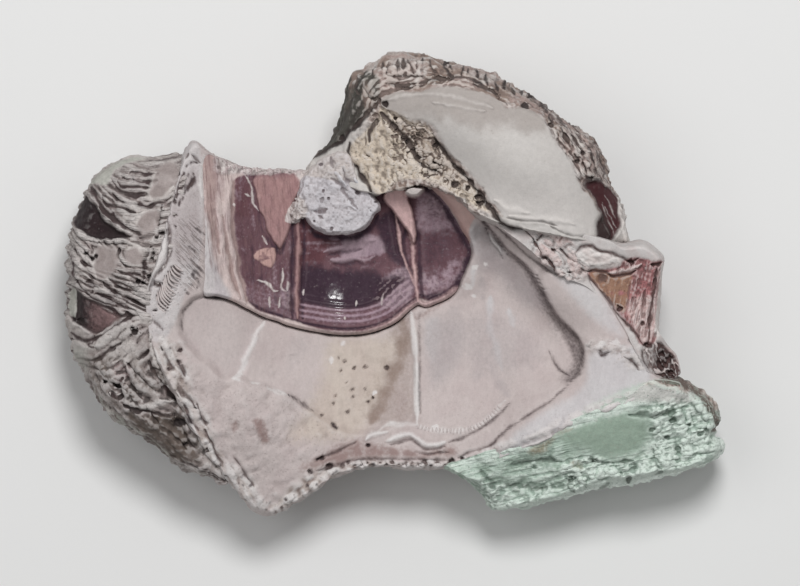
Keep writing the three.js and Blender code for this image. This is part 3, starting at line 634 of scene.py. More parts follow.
def build_main_shell():
    """The opened shell: ground through its spot heights, the pockets sunk into it with steep walls, the bed
    of the lining sunk under the lining's own piece, and seams, cracks, scallops and pits along their
    curves."""
    growth = Growth(
        "opened_shell", MAIN_OUTLINE, centre=(-3, -6), top_rounding=0.9, foot_rounding=11, cells=280,
        wandering=0.45,
    )
    x, y, plan = growth.x, growth.y, growth.plan
    line, lines, region, spots = plan.line, plan.lines, plan.region, plan.spots
    left_pocket = region(LEFT_POCKET, 1.5)
    middle_pocket = region(MIDDLE_POCKET, 1.1)
    fan_pocket = region(FAN_POCKET, 1.0)
    bed = growth.exact.region(LINING_OUTLINE[:-5] + [(-34.6, 24), (-34.6, 14), (-34.6, 8), (-34.6, 3)], 1.0)
    lip_groove = growth.exact.line(LIP, 0.5)
    from_mouth, _ = plan.to_curve(curve_through(MOUTH_WALL), 9.0)
    from_edge, _ = plan.to_curve(curve_through(FAN_EDGE), 14.0)
    fan_depth = fan_pocket * (
        0.3 + 2.1 * smooth(13, 3, from_edge) * smooth(-17.5, -12, y) * smooth(0.5, 8.5, from_mouth)
    )
    over_lining = smooth(3.0, 9.0, x) * smooth(-1.5, 3.0, y) * smooth(6.5, 0.5, from_mouth) * (1 - bed)
    fan_shadow = growth.exact.line([
        (27.2, -4.1), (28.7, -6.4), (30.2, -9.4), (31.4, -11.9), (31.6, -13.7),
    ], 0.6)
    seam = growth.exact.line([
        (1.9, -3.2), (2.4, -6.5), (2.8, -11), (3.0, -15), (3.05, -19.1), (3.05, -23.8),
    ], 0.5)
    seam_crack = growth.exact.line([
        (3.6, -3.4), (3.4, -6.5), (3.6, -9.5), (3.6, -13.5), (3.5, -16.6), (3.7, -22),
    ], 0.28)
    cracks = lines([
        [(-42.6, -9.6), (-41.4, -12.4), (-40.4, -14)], [(-39.6, -12.6), (-38.4, -14.8)],
        [(-38.8, -19.6), (-37.7, -22.4), (-36.2, -24.8)], [(-36.4, -19.8), (-35.6, -22.4), (-34.6, -23.6)],
        [(-20.2, -18.3), (-18.1, -19.5), (-16.4, -20.9), (-15.5, -21.5)], [(-12.4, -23.4), (-11.4, -24.8)],
        [(39.9, -11.3), (41, -12), (42.1, -12.9), (42.8, -13.8)], [(41, -8.3), (42.1, -9.6)],
        [(35.9, -9.9), (36.2, -11.2), (37.6, -10.6)],
        [(-37.2, 24.8), (-35.9, 23.2)], [(-37.9, 25.1), (-38.4, 24)],
        [(-34.9, -24.9), (-33.7, -27), (-33.1, -29), (-31.6, -31.2)],
        [(-30.1, -29.1), (-28.6, -31.2), (-27.7, -33), (-26.2, -34.8)],
        [(-40, -16.2), (-39.1, -18), (-37.6, -19.2), (-36.7, -20.7)],
    ], 0.42)
    folds = lines([
        [(13.8, 17.6), (15, 15.4), (17, 12.5), (20, 9.5), (24, 6), (27, 3.9), (29.5, 2.9)],
        [
            (8.9, -26.9), (10.3, -26.6), (12.3, -25.6), (14.6, -24.4), (16.6, -22.9), (18.3, -21.4),
            (20, -19.6),
        ],
        [
            (10.3, -29.8), (12, -28.9), (14.6, -28.2), (16.6, -27.3), (18.1, -25.6), (21.5, -22.9),
            (27, -19.4), (30.9, -15.8),
        ],
        [(26.7, -10.2), (27.7, -12.2), (28.9, -13.9), (30.4, -15)],
        [(-15, -32), (-11.5, -31), (-8, -30.1), (0, -30), (9, -30.1)],
        [(-14.2, -29.4), (-11.7, -28.7), (-9.6, -27.7), (-7.9, -26.9)],
        [(-1.8, -27.4), (0.2, -27), (1.7, -26.6), (3.2, -27.3), (4.5, -28.1), (6.2, -28.1), (8.3, -27.5)],
        [
            (-31.5, -0.9), (-33.4, -0.8), (-35.4, -0.8), (-37.2, -1.6), (-38.6, -3.3), (-39.1, -5.6),
            (-38.9, -7.6),
        ],
        [(2.8, -28.7), (5, -29), (7.4, -28.6), (9, -28.8)],
        [
            (-41.7, 13.6), (-41.2, 11.5), (-41.1, 9.5), (-41.3, 6.5), (-42.4, 4.5), (-43.6, 3.2),
            (-44.4, 1.4), (-44.9, -1.5),
        ],
        [(15.3, 11.8), (16.6, 9), (18.1, 7), (18.6, 6)], [(15.6, 12.2), (17.3, 9.6), (19.5, 6.9)],
        [(24.5, 3.4), (25.9, 0.6)], [(-44.3, -4.7), (-43.3, -5.6), (-42.2, -6.9)],
    ], 0.3)
    crests = lines([
        [(-41.9, 13), (-41.9, 8.4), (-42.4, 6), (-43.7, 4.3), (-44.9, 2.4), (-45.4, 0)],
        [(-24.3, -5), (-25.3, -6.4), (-26.2, -8.7), (-27.4, -11.1), (-28.9, -14.7), (-30.1, -15.4)],
        [(-2.3, -26.6), (-0.3, -25.9), (1.7, -25.6), (3.2, -26.4), (4.5, -27.3), (6.2, -27.4), (8.2, -26.8)],
        [(-6.1, -26.5), (-5.1, -25.4), (-2.3, -25.1)], [(15.9, 10.6), (17.2, 8.6), (18.2, 7)],
    ], 0.55)
    ragged = np.maximum(
        line([(-42.6, -8), (-40.5, -14), (-38.2, -20), (-35.4, -26), (-31.6, -31.6), (-26, -36.5)], 2.6),
        line([(-31, -33.4), (-27, -37), (-23.6, -38.6), (-20, -37), (-16, -34.4), (-11, -31.8)], 1.9),
    )
    ragged = np.maximum(ragged, line([(-12, -31.6), (-5, -30.9), (2, -31), (10, -30.9)], 0.9))
    ragged = np.maximum(ragged, 0.7 * line([(33, -9.4), (37, -9.4), (40.5, -11), (43.5, -13.5)], 1.5))
    broken_wall = region([
        (-35.6, 25.5), (-37, 28), (-41, 21), (-43.5, 12), (-46, 3), (-46.5, -6), (-43, -9), (-40.2, -5.5),
        (-38.4, -0.5), (-36.2, 3.5), (-35.5, 8),
    ], 1.0)
    pits = spots(PORE_PITS, 0.27)
    left_pits = spots([
        (-42.5, 10.75, 1.5), (-43.4, 9.8, 1.5), (-43.6, 7.2, 1.4), (-43.8, 6.3, 1.4), (-44.8, 3.2),
        (-43.3, 1.6, 1.6), (-43.7, -3), (-40.3, 13.9), (-40.2, 11.8, 0.8), (-41.4, -13.6), (-42.6, -10.2),
        (-39.3, -10.3, 1.2), (-35, -28.4, 1.7), (-14.9, -29.9, 1.3), (-14.2, -29.6, 1.3), (-16.3, -32.2),
        (-5.6, -27.4, 1.1), (9.3, -30.2, 1.5), (11.2, -29.9), (-12.7, -31, 1.1), (-40.2, 16.2),
        (-39.6, -12.4),
    ], 0.34)
    rim_pits = spots([
        (px, -30.8 + 0.25 * np.sin(3.1 * px), 0.8 + 0.35 * np.sin(7.7 * px))
        for px in np.arange(-10.5, 11.5, 1.15)
    ], 0.42)
    dips = spots([(-25, -24.8, 1.4), (-24, -26.8), (-29.6, -24), (-21, -13, 2)], 1.2)

    beyond_crust = region([
        (12, -30.6), (19, -28.2), (25, -25.8), (30, -24), (34, -21.8), (40, -20.3), (45, -18), (52, -17),
        (52, -28), (30, -32), (12, -34),
    ], 1.2)
    fan_shade = region([
        (26.4, -1.6), (28.4, -3.9), (31.6, -7.8), (32.6, -9.6), (32.8, -11.6), (32.4, -13.6), (31, -15.6),
        (31.3, -13), (30.3, -9.6), (28.8, -6.4), (27.2, -4),
    ], 0.5)
    # painted shade at the foot of the fan pocket's right wall, widest towards the bottom
    fan_shadow_width = mix(1.5, 3.8, smooth(6, -9, y))
    fan_gloom = (
        region(FAN_POCKET, 0.35) * smooth(1, 0, from_edge / fan_shadow_width) * smooth(11, 6, y)
        * smooth(-17.6, -15.6, y)
    )
    wrinkled = region([
        (-41, -14), (-31, -15.6), (-22, -17.6), (-12, -24.4), (-9, -27), (-16, -30), (-21, -36), (-27, -37),
        (-34, -27),
    ], 3.0)
    arch_lip = region([
        (-0.6, 19.8), (4, 19.9), (8.6, 18.4), (12, 16.6), (15.6, 13.4), (14.6, 11.4), (12.4, 10.4),
        (11, 12.8), (8.8, 16), (6, 18.4), (2, 19.3),
    ], 2.2)
    high = (
        main_ground(x, y) - 1.5 * left_pocket - 0.9 * middle_pocket - fan_depth - 2.1 * bed
        + 1.3 * over_lining
        + 0.45 * np.exp(-(((x - 1.9) / 1.6) ** 2)) * smooth(-25, -20, y) * smooth(-1, -6, y)
        - 0.4 * lip_groove - 0.5 * fan_shadow + 0.55 * seam - 0.4 * seam_crack - 0.8 * cracks - 0.5 * folds
        + 0.5 * crests - 0.8 * pits - 1.1 * left_pits - 0.7 * rim_pits - 0.25 * dips + 1.5 * arch_lip
        + 0.25 * line(SCALLOPS, 0.7) - 0.9 * beyond_crust - 0.35 * growth.exact.lines(COMB_GAPS, 0.26)
        - 0.45 * lines(DARK_HATCH, 0.36)
    )
    low = (
        0.0062 * (x + 4) ** 2 + 0.006 * np.maximum(0, y - 4) ** 2
        + mix(0.008, 0.034, smooth(-27, -9, x)) * np.maximum(0, -y - 14) ** 2 - 1.4
        + 0.45 * fanned_ribs((-4, 52), 46, x, y)
    )
    growth.raise_to(high, low)
    p = growth.points
    wall = growth.side_wall(0.8, 0.2)
    coarse, fine = fractal(p, 3.2, 2, 5), fractal(p, 1.3, 2, 9)
    flakes = (
        0.6 * crumple(p * FLAT, (-63, 3.4, 0.7), 1.5, 15) + 0.4 * crumple(p * FLAT, (-58, 2.2, 0.8), 0.9, 16)
    )
    flakes = mix(flakes, crumple(p * FLAT, (32, 1.5, 1), 1.5, 18), smooth(-27, -22, x))
    near_crust = smooth(2.6, 0.6, plan.to_curve(curve_through([
        (12, -30.6), (25, -25.8), (34, -21.8), (45, -18), (49, -17),
    ]), 3)[0])
    smooth_inside = np.maximum(left_pocket, np.maximum(middle_pocket, fan_pocket))
    outside_growth = waves(p[:, 1] + 1.3 * noise(p, 9.0, 21), 2.1) * 0.14
    growth.push_out(
        0.06 * coarse + ragged * (0.22 * coarse + 0.18 * fine + 0.6 * flakes - 0.3)
        + broken_wall * 0.08 * fine
        + 0.1 * middle_pocket * smooth(-14.5, -12, x) * (coarse + fine) * smooth(-0.4, -2.4, x)
        + wrinkled * (0.14 * coarse + 0.1 * fine + 0.4 * crumple(p * FLAT, (25, 1.6, 1), 4.2, 17) - 0.2)
        + near_crust * (0.16 * fine + 0.22 * flakes - 0.1) + wall * (0.22 * coarse + 0.16 * fine)
        + (~growth.is_top) * outside_growth + 0.05 * fine * (1 - smooth_inside)
        - 0.10 * middle_pocket * smooth(0.55, 0.25, pore_distance(p, 2.3, 4))
        * region([(-13, -9), (-2, -8), (-1.5, -14), (-5, -21), (-8, -25), (-14, -24), (-15, -15)], 4),
    )
    growth.mask("tan", 0.5 * ragged, 0.9 * region([
        (-12.5, -8.8), (-3, -8), (0.6, -8.6), (-1.5, -15), (-4, -20.5), (-7, -25.5), (-13, -26.5), (-20, -26),
        (-17, -21.5), (-14, -15),
    ], 6))
    beside_stain = region([
        (0, -4), (2, -4.4), (2.6, -10), (2.8, -17), (2.6, -23), (-5, -24), (-4.4, -19), (-2.2, -14.6),
        (-0.6, -10),
    ], 3.2)
    growth.mask("stain", 0.8 * line([
        (0.5, -5), (0.7, -8), (0.4, -11), (-0.6, -13.8), (-1.9, -16.9), (-3.6, -20.1), (-5.2, -23.4),
    ], 2.3), 0.42 * beside_stain)
    growth.mask(
        "shade",
        0.75 * region([
            (-41, 18), (-39.5, 21), (-36, 22), (-35.6, 12), (-36.6, 5), (-40.6, 5.6), (-41.4, 12),
        ], 3.0),
        0.7 * region([(4.6, -5), (8, -4), (12, -5), (12.6, -9), (10, -14), (6, -17), (4.4, -12)], 4.5),
        0.6 * line([(16.4, -13), (18, -16.4), (19.6, -18.6)], 1.6), 0.6 * line([(14.6, 3), (15, -1)], 1.4),
        0.35 * region([(-20, -8), (-16, -8), (-17, -12), (-20, -15)], 3), 0.3 * left_pocket,
        0.5 * region([(8.4, -3), (11, -2.4), (10.4, -7), (8, -12), (6.6, -11), (8.4, -7)], 2.0),
        0.5 * line([(13.4, -8), (14.4, -12), (13.6, -16)], 1.6),
        0.4 * line([(21, -9), (22.4, -12), (24, -14)], 1.5),
        0.5 * region([(11, -5), (18, -3), (24, -6), (26, -11), (20, -15), (12, -13)], 6),
        0.75 * region([(13, 9), (15, 12), (19, 8), (24, 3), (27, -3), (22, -2), (17, 3), (14, 4)], 4.5),
    )
    growth.mask(
        "rose",
        (0.85 + 0.4 * fine) * region([
            (-14, -29), (-8, -26.6), (-3, -27.6), (4, -28.6), (9, -27.8), (10, -29), (6, -29.8), (-6, -29.9),
            (-14, -31.6), (-18, -31.6),
        ], 3.0),
        0.85 * region([
            (-26.4, -22.8), (-25.2, -22.4), (-24.2, -24), (-23.6, -26.6), (-24.6, -27), (-25.6, -25.4),
        ], 1.4),
        0.7 * line([(-29.4, -23), (-29.8, -25)], 1.0),
        0.5 * region([(0, -5), (5, -3), (9.6, 0), (4.4, -4.6)], 1.2),
        0.4 * line([(-36.8, 26.9), (-37, 27.6)], 0.8),
    )
    # a pink band under the arch, in a colour made lighter as painted light where the upper shell's arch
    # shades it
    growth.mask("flesh_and_painted_light", 0.95 * region([
        (3, 20), (8.6, 18.4), (12, 16.8), (14.8, 15), (13.4, 13.2), (12.5, 11.4), (12.6, 9), (11.4, 9),
        (10.8, 12), (8.6, 15.6), (5.6, 18.4),
    ], 0.9))
    growth.mask(
        "chalky", 1.0 * crests, 1.1 * seam, 0.8 * ragged * smooth(0.35, 0.8, flakes),
        0.7 * line(SCALLOPS, 0.5), 0.8 * near_crust * smooth(0.3, 0.7, flakes),
        0.9 * line([(-30, -15.4), (-26, -16.4), (-23.4, -17.2), (-20, -18.5)], 0.45)
        * smooth(-0.3, 0.2, fine),
        lines([
            [(-10.7, -9.6), (-9.9, -8.6)], [(-12.4, -11.4), (-12.4, -12.8)], [(-39.7, -13.2), (-37.4, -15.6)],
            [(-37.2, -21.5), (-37.6, -22.6)], [(-35.1, 24.6), (-35.5, 17)],
        ], 0.5),
        spots([
            (36.3, -9.2), (38.6, -8.9, 1.3), (39.8, -9.8), (13.6, 4.6, 1.1), (12.3, 1.2, 1.3),
            (13.4, -0.4, 0.7), (15.6, 5.2, 0.6), (6.4, -24.2), (-4.6, -18, 0.8),
        ], 0.6),
    )
    growth.mask(
        "dark", 0.85 * cracks, 0.65 * pits, 0.9 * left_pits,
        0.8 * ragged * smooth(0.3, 0.16, pore_distance(p, 1.7, 7)), 0.6 * rim_pits, 0.5 * seam_crack,
        # painted shadow: the lines under the lip, along the fan pocket's edge and under the mouth's
        # overhanging wall, and the fan's gloom and shade
        0.5 * growth.exact.line(LIP, 0.3), 0.66 * folds, 0.7 * growth.exact.line(FAN_EDGE, 0.4),
        0.25 * fan_shadow, 0.56 * fan_gloom, 0.5 * fan_shade, 0.9 * line(MOUTH_WALL, 0.55),
        0.75 * lines(FINE_SCRATCHES, 0.27), 1.1 * lines(DARK_HATCH, 0.36),
        growth.exact.lines(COMB_GAPS, 0.26), 0.5 * ragged * smooth(0.16, 0.02, flakes),
        0.8 * line([
            (-41.4, 12), (-41.1, 9.5), (-41.3, 6.5), (-42.4, 4.5), (-43.6, 3.2), (-44.6, 1), (-44.9, -1.5),
        ], 0.4),
    )
    growth.mask(
        "whitish", 0.58 * broken_wall, 0.6 * ragged,
        0.8 * region([(4.8, -5), (6.8, -4.6), (7.4, -9), (6, -13), (4.8, -10)], 2.4),
        0.8 * lines([
            [(16.4, -0.6), (16.2, -6), (17.4, -10), (18.4, -14)], [(13.4, 5), (13, 1)],
            [(19.6, -3), (20.4, -6)],
        ], 0.8),
        0.8 * region([(12, 11), (14, 12.6), (17, 9.6), (19, 7), (15, 6), (13, 8)], 2.0),
        region([
            (20, -26), (26, -21.4), (33, -16.8), (34.4, -11), (38, -10), (42, -10), (46, -16), (50, -18),
            (34, -26), (18, -31),
        ], 3),
        0.7 * region([(27, 5), (33, 2.5), (38, -3), (40, -8), (36, -6), (30, 0)], 3),
    )
    growth.mask("scratched", region([
        (-39.6, 12.6), (-40, 8), (-40.4, 5), (-38.6, 1), (-36.6, 0.6), (-35.2, 4), (-35.4, 10), (-36.4, 13),
    ], 2.4))
    growth.mask("greenish", region([
        (33, -21.4), (38, -18.4), (43, -16.4), (50, -16), (50, -21), (32, -25),
    ], 2.6))
    growth.mask("grime", 0.8 * ragged * smooth(0.2, -0.5, coarse), 0.9 * wall * ~growth.is_top)
    growth.mask(
        "rough", ragged, wall, 0.5 * broken_wall, 0.6 * near_crust, 0.5 * wrinkled, 0.2 * smooth(-12, -22, y),
    )
    return growth


# ---------------------------------------------------------------- the lining of the mouth

PURPLE = [  # where the lining is dark; what is outside it is the pale lip and the slope to the broken wall
    (-29.6, 20.5), (-30.2, 17), (-30.1, 10.8), (-29.2, 6.6), (-28.9, 3.4), (-28.2, 0.8), (-27.3, -1.5),
    (-25.5, -3.2), (-23, -4.1), (-19.5, -4.9), (-18, -5.4), (-15, -6.3), (-10, -6.9), (-5, -6.4),
    (-1.5, -4.9), (0.7, -3.2), (2.4, -1.9), (3.5, -1), (5.2, -1.2), (7, -1), (9, 0), (11, 1.4), (13, 5),
    (14, 8), (12.6, 11.6), (8.6, 17.4), (4.6, 20.6), (-3, 21.4), (-14, 22.8), (-22, 22), (-27.6, 21.4),
]
SEAM_LEFT = [
    (-18.4, 14.6), (-18.4, 12), (-18.2, 9.6), (-18.5, 4.6), (-18.6, 2.2), (-18.6, -0.3), (-18.5, -4.6),
]
SEAM_RIGHT = [(1.9, 13), (2.3, 9), (2.6, 5), (2.9, 1.5), (3.2, -1.6)]
SEAM_BRANCH = [(-0.9, 14), (-0.2, 10.5), (0.5, 7), (1.8, 3.5), (2.7, 1)]
PINK_WEDGE = [
    (-3, 17.3), (-0.1, 19.8), (1.2, 17.6), (2.3, 14), (2.9, 10.6), (2.5, 9), (1.9, 10.6), (0.6, 12.2),
    (-1, 14.3),
]
PINK_TRIANGLE = [
    (-26.4, 20.4), (-25.8, 17.7), (-25.3, 14.8), (-24.5, 13.3), (-23.7, 11), (-22.6, 9.1), (-21.7, 8),
    (-20.8, 9.4), (-20, 11), (-19.5, 14.5), (-18.9, 17), (-17.6, 19.5), (-17.4, 21.9), (-24.4, 22),
]
ORANGE_CHIP = [(-26.3, 6.6), (-25, 7.8), (-23.8, 8.1), (-22.6, 7.8), (-22.7, 5.6), (-23.5, 4.6), (-25.8, 5.9)]
SLOPE_RIDGES = [
    [(-32.4, 14), (-31.8, 9.6), (-31.2, 5.1), (-30.2, 0.9), (-28.8, -1)],
    [(-30.6, 18.4), (-31.1, 14.5), (-30.6, 10.8), (-29.8, 7.1), (-29.3, 3.4), (-28.5, -0.3), (-27.6, -1.8)],
    [(-28.4, 4.6), (-28.4, 2.7), (-27.7, 0.4), (-27.4, -1.2)],
    [(-34.9, 21), (-34.7, 14), (-33.9, 8), (-33.2, 3.6)],
]
SLOPE_FURROWS = [
    [(-31.9, 14), (-31.2, 10), (-30.5, 5.9), (-29.6, 1.7), (-28.4, -1)],
    [(-30, 20), (-30.1, 14.5), (-30, 10.8), (-29.1, 6.6), (-28.8, 3.8), (-28, 1), (-27.4, -1.6)],
    [(-33.2, 15), (-32.8, 10), (-32.3, 7)],
]
LIGHT_STREAKS = [
    [(-28.2, 21.6), (-27, 19.6), (-26.5, 17.6), (-26.4, 16), (-25.4, 14.6)], [(-24.8, 10.3), (-24, 8.6)],
    [(-25.8, 2.3), (-23.8, 1.7), (-22.6, 0.4), (-21.8, 0.4)],
    [(-21.2, 4.6), (-21.1, 2.7), (-21.3, 0.9), (-20.4, 0.3)], [(-20.2, 0.4), (-20.2, 2.2)],
    [(-17.4, -0.4), (-17.3, 0.8)], [(-8.1, -2.4), (-8, -1.3)], [(-3.3, -2.2), (-3.1, 0)],
    [(-29.8, 16.1), (-29.9, 15.6)], [(-9.9, -4.9), (-9.9, -4.2)], [(-28, 17.9), (-26.9, 17.4)],
    [(-23.6, -0.6), (-23.4, -2.6)], [(-21.6, -0.8), (-22, -2.8)],
]


def build_lining():
    """The lining: a slab a little over the shell's ground, thickest at the lip, with a rounded free edge. Its
    growth lines are waves of the distance from the lip."""
    growth = Growth(
        "mouth_lining", LINING_OUTLINE, centre=(-12, 11), top_rounding=1.1, foot_rounding=0.9, cells=270,
        wandering=0.55,
    )
    x, y, field = growth.x, growth.y, growth.field
    line, lines, region = growth.plan.line, growth.plan.lines, growth.plan.region
    from_lip, _ = growth.exact.to_curve(curve_through(LIP), 9.0)
    right = smooth(3.4, 9, x) * smooth(-0.5, 3, y)
    lift = mix(mix(-0.2, 0.6, smooth(-36, -32.5, x)), -1.6, right)
    purple = region(PURPLE, 0.7)
    triangle = region(PINK_TRIANGLE, 0.5)
    wedge = region(PINK_WEDGE, 0.6)
    chip = region(ORANGE_CHIP, 0.5)
    white_chip = region([(0.9, 17.9), (1.2, 18.8), (2.8, 19.2), (4.4, 18.9), (3.4, 17.5), (2, 17.2)], 0.9)
    seam = np.maximum(line(SEAM_LEFT, 0.42), line(SEAM_RIGHT, 0.45))
    branch = line(SEAM_BRANCH, 0.32)
    beside_seam = lines([
        [(px - 0.95, py) for px, py in SEAM_LEFT], [(px + 1.0, py) for px, py in SEAM_LEFT],
        [(px + 0.95, py) for px, py in SEAM_RIGHT], [(1, 12), (0.7, 8), (1.5, 5), (2.2, 3)],
        [(-1.6, 14), (-0.9, 10.5), (-0.3, 7)], [(-22.6, 9), (-21.6, 7.2), (-20.6, 9)],
    ], 0.45)
    ridges, furrows = lines(SLOPE_RIDGES, 0.42), lines(SLOPE_FURROWS, 0.4)
    streaks = lines(LIGHT_STREAKS, 0.24)
    ripples = lines([
        [(-13.7, 7.35), (-11.7, 8.1), (-10, 8.3), (-9.5, 9.4), (-7.5, 9.7), (-4.6, 9.6)],
        [(-12.6, 6), (-10, 5.9), (-8, 6.35), (-6.3, 6), (-4.6, 6.7)], [(-13, 10), (-11, 9.6)],
    ], 0.6)
    below_ripples = lines([
        [(-12, 5.2), (-10, 5.1), (-8, 5.5), (-6, 5.1), (-4.4, 5.7)],
        [(-13, 6.7), (-11.4, 7.2), (-9.5, 7.4), (-7, 8)],
    ], 0.5)
    middle = smooth(-18.4, -17.6, x) * smooth(2.9, 1.5, x)
    near_lip = smooth(7.5, 4.5, from_lip) * purple
    growth_line = waves(from_lip + 0.25 * noise(field, 5.0, 12), 1.05)
    crusted = largest(
        region([(-4.6, -1.5), (-3.8, 1.6), (-1, 4.2), (1.6, 4.6), (2.6, 1), (1.4, -1.6), (-1, -3)], 1.6),
        (0.7 + 0.5 * noise(field, 0.9, 49)) * region([
            (3.6, 0.2), (3.8, 4), (6, 3.4), (9, 5.4), (11.4, 6.4), (10.4, 2.6), (8.6, 0.6), (6, 0),
        ], 3.0),
        0.8 * region([(-21.4, -2.4), (-21.4, 0.8), (-19.4, 0.4), (-19.3, -3)], 1.0),
        0.8 * region([(4.8, 14.6), (5.2, 17.6), (7.2, 16.8), (8, 14.6), (6.4, 14)], 0.8),
    )
    high = (
        main_ground(x, y) + lift + 0.35 * np.exp(-(((from_lip - 0.6) / 0.45) ** 2)) + 0.75 * triangle
        + 2.2 * wedge + 7 * white_chip + 0.35 * chip + 0.55 * seam + 0.3 * branch - 0.4 * beside_seam
        + 0.32 * ridges - 0.36 * furrows + 0.2 * streaks + 0.35 * ripples - 0.35 * below_ripples
        + 0.055 * growth_line * near_lip * (0.35 + middle)
        - 0.35 * np.exp(-(((from_lip - 1.1) / 0.35) ** 2)) * smooth(-29, -25, x) * smooth(10, 8, x)
    )
    growth.raise_to(high, main_ground(x, y) - 1.6)
    p = growth.points
    coarse, fine = fractal(p, 2.6, 3, 41), fractal(p, 0.9, 2, 44)
    broken_top = smooth(21, 21.8, y + 0.3 * coarse) * smooth(-16, -18, x) * smooth(-34, -32.6, x)
    growth.push_out(0.04 * coarse + crusted * 0.2 * fine + purple * 0.03 * fine + broken_top * 0.35 * fine)
    in_left, in_right = smooth(-18.2, -18.9, x) * purple, smooth(2.4, 3.4, x) * purple
    blotch = 0.25 * coarse
    growth.mask("pale", (1 - purple) * (1 - 0.45 * smooth(-20, -10, x) * smooth(2.2, 1.2, from_lip)))
    growth.mask("whitish", region([
        (-36.4, 15), (-34.8, 14), (-34, 9.6), (-33.2, 5.6), (-31.8, 2.2), (-30.4, -0.6), (-32, -1.6),
        (-36.4, -1.6),
    ], 1.9))
    lip = smooth(1.6, 0.8, from_lip) * smooth(-12, -2, x)
    wavy = 0.7 * noise(field, 1.7, 48)
    # uneven streaks that run down the slopes, and others that lie along the lip
    upright = noise(level(2.2 * x + 0.2 * y + wavy, 0.4 * y + wavy), 1.5, 46)
    lying = noise(level(0.45 * x + wavy, 2 * y + wavy), 1.3, 47)
    growth.mask(
        "dark",
        0.97 * middle * purple * smooth(5.8, 2.6, y + 3.4 * blotch + 0.12 * (x + 10))
        * smooth(3.6, 5.6, from_lip + 0.6 * blotch) * smooth(3.4, -1.4, x - 0.25 * y),
        0.75 * region([(-4.4, 13), (-3.6, 9.8), (-1.6, 6), (1.4, 4.4), (1.2, 8), (0.2, 12), (-1, 15)], 1.6),
        0.85 * beside_seam * purple, 0.6 * below_ripples * purple, 0.5 * in_left * smooth(0.1, 0.9, -upright),
        0.8 * furrows * smooth(-30.6, -29.6, x),
        0.45 * in_right * region([(3, 4), (3, 11), (6, 12), (10, 10), (9.6, 6.6), (5.6, 4.6)], 5.0),
        # painted shadow under the overhanging mouth wall
        0.9 * line(MOUTH_WALL, 0.7) * in_right, 0.65 * line([(-25, 12), (-23.6, 9.4), (-22, 7)], 0.5),
        # painted shadow along the chalk lump's lower edge
        0.9 * line([
            (-16, 12.4), (-15.4, 10.7), (-13, 10.1), (-10, 9.9), (-7, 10.6), (-4.6, 12.4), (-4, 14),
        ], 0.7),
        0.85 * np.exp(-(((from_lip - 1.1) / 0.34) ** 2)) * smooth(-30, -25, x) * smooth(12, 9, x),
        # painted shadow under the lining's free edge at the lip
        0.7 * np.exp(-(((from_lip - 0.05) / 0.3) ** 2)) * mix(0.25, 1, smooth(-26, -14, x)),
    )
    growth.mask(
        "red",
        0.9 * region([(-17.9, 3.4), (-17.9, 13), (-14.6, 12), (-13, 9.8), (-13.6, 6.4), (-15, 4)], 2.4),
        0.5 * region([(-29.8, 14), (-29.8, 21), (-26.8, 20.6), (-26.4, 16), (-25.6, 14)], 1.2),
    )
    growth.mask(
        "mauve", 0.4 * in_left * smooth(-0.1, 0.9, upright + 0.5 * coarse),
        0.42 * middle * purple * smooth(0.1, 0.9, lying),
        0.25 * middle * smooth(5.2, 3.8, from_lip + 0.5 * blotch) * smooth(1.3, 1.9, from_lip), 0.9 * crusted,
        1.0 * ripples,
        1.0 * region([(-10.4, 6.2), (-10.2, 10), (-5, 10.6), (-3, 9.6), (-2.8, 7.4), (-5, 6.8)], 1.6),
        0.35 * in_left * smooth(4.5, -1, y),
        in_right * (
            0.06 + 0.18 * lying + 0.62 * smooth(8.5, 13, y + 2 * blotch)
            + 0.22 * smooth(5.5, 2.5, y + 2 * blotch)
        ),
    )
    growth.mask(
        "fine_lines",
        0.8 * np.clip(0.5 + 0.5 * growth_line, 0, 1) * near_lip * (0.3 + 0.7 * middle)
        * smooth(1.7, 2.2, from_lip) * smooth(5.6, 4.2, from_lip),
    )
    # the pink of the wedge, seams and lip, in a colour made lighter as painted light where the arch and the
    # chalk lump shade the wedge
    growth.mask("flesh_and_painted_light", wedge, 0.7 * seam * smooth(-2, 0, x), 0.6 * branch, 0.4 * lip)
    growth.mask(
        "pink", 0.25 * smooth(1.5, 0.6, from_lip) * smooth(-22, -14, x),
        triangle * smooth(23.5, 19, y - 0.6 * np.maximum(0, x + 20)), seam, 0.8 * branch,
        0.5 * region([(-32.8, 21.4), (-32.6, 17.6), (-30, 18), (-29.9, 21.4)], 0.9),
        (1 - purple) * (0.3 + 0.4 * smooth(-0.2, 0.7, upright)) * smooth(1, 8, y),
    )
    growth.mask(
        "white", streaks,
        0.85 * region([(-32.8, 21.8), (-32.4, 24.6), (-28.4, 24), (-28.2, 22.2), (-30, 21.9)], 0.5),
        white_chip, 0.8 * region([(-21.4, 24), (-15, 24), (-15, 17.2), (-17, 17.6), (-18.4, 20.6)], 1.6),
        0.7 * broken_top,
        region([(-20.7, 12.8), (-20.4, 14.6), (-18.6, 16.4), (-17, 15.6), (-17.6, 13.8), (-19.2, 12.6)], 0.4),
    )
    growth.mask(
        "brown", furrows, (1 - purple) * 0.4 * smooth(0.1, 0.8, -upright) * smooth(3, 10, y),
        0.85 * region([
            (-35.4, 26), (-35, 19.4), (-34.8, 14.5), (-34.2, 9), (-33.6, 4), (-33.1, 8), (-33, 14),
            (-32.6, 19.4), (-32.4, 25.5),
        ], 1.4),
    )
    growth.mask("streaked", 0.7 * in_left, (1 - purple) * smooth(1, 6, y))
    growth.mask("orange", chip * (1 - 0.6 * smooth(0.0, 0.7, fine)))
    growth.mask("rough", 0.7 * crusted, broken_top)
    growth.mask("polish", 0.9 * purple * smooth(2.1, 0.7, np.hypot(x + 12, 0.42 * (y + 2.4))))
    return growth


# ---------------------------------------------------------------- the ribbed wall on the left

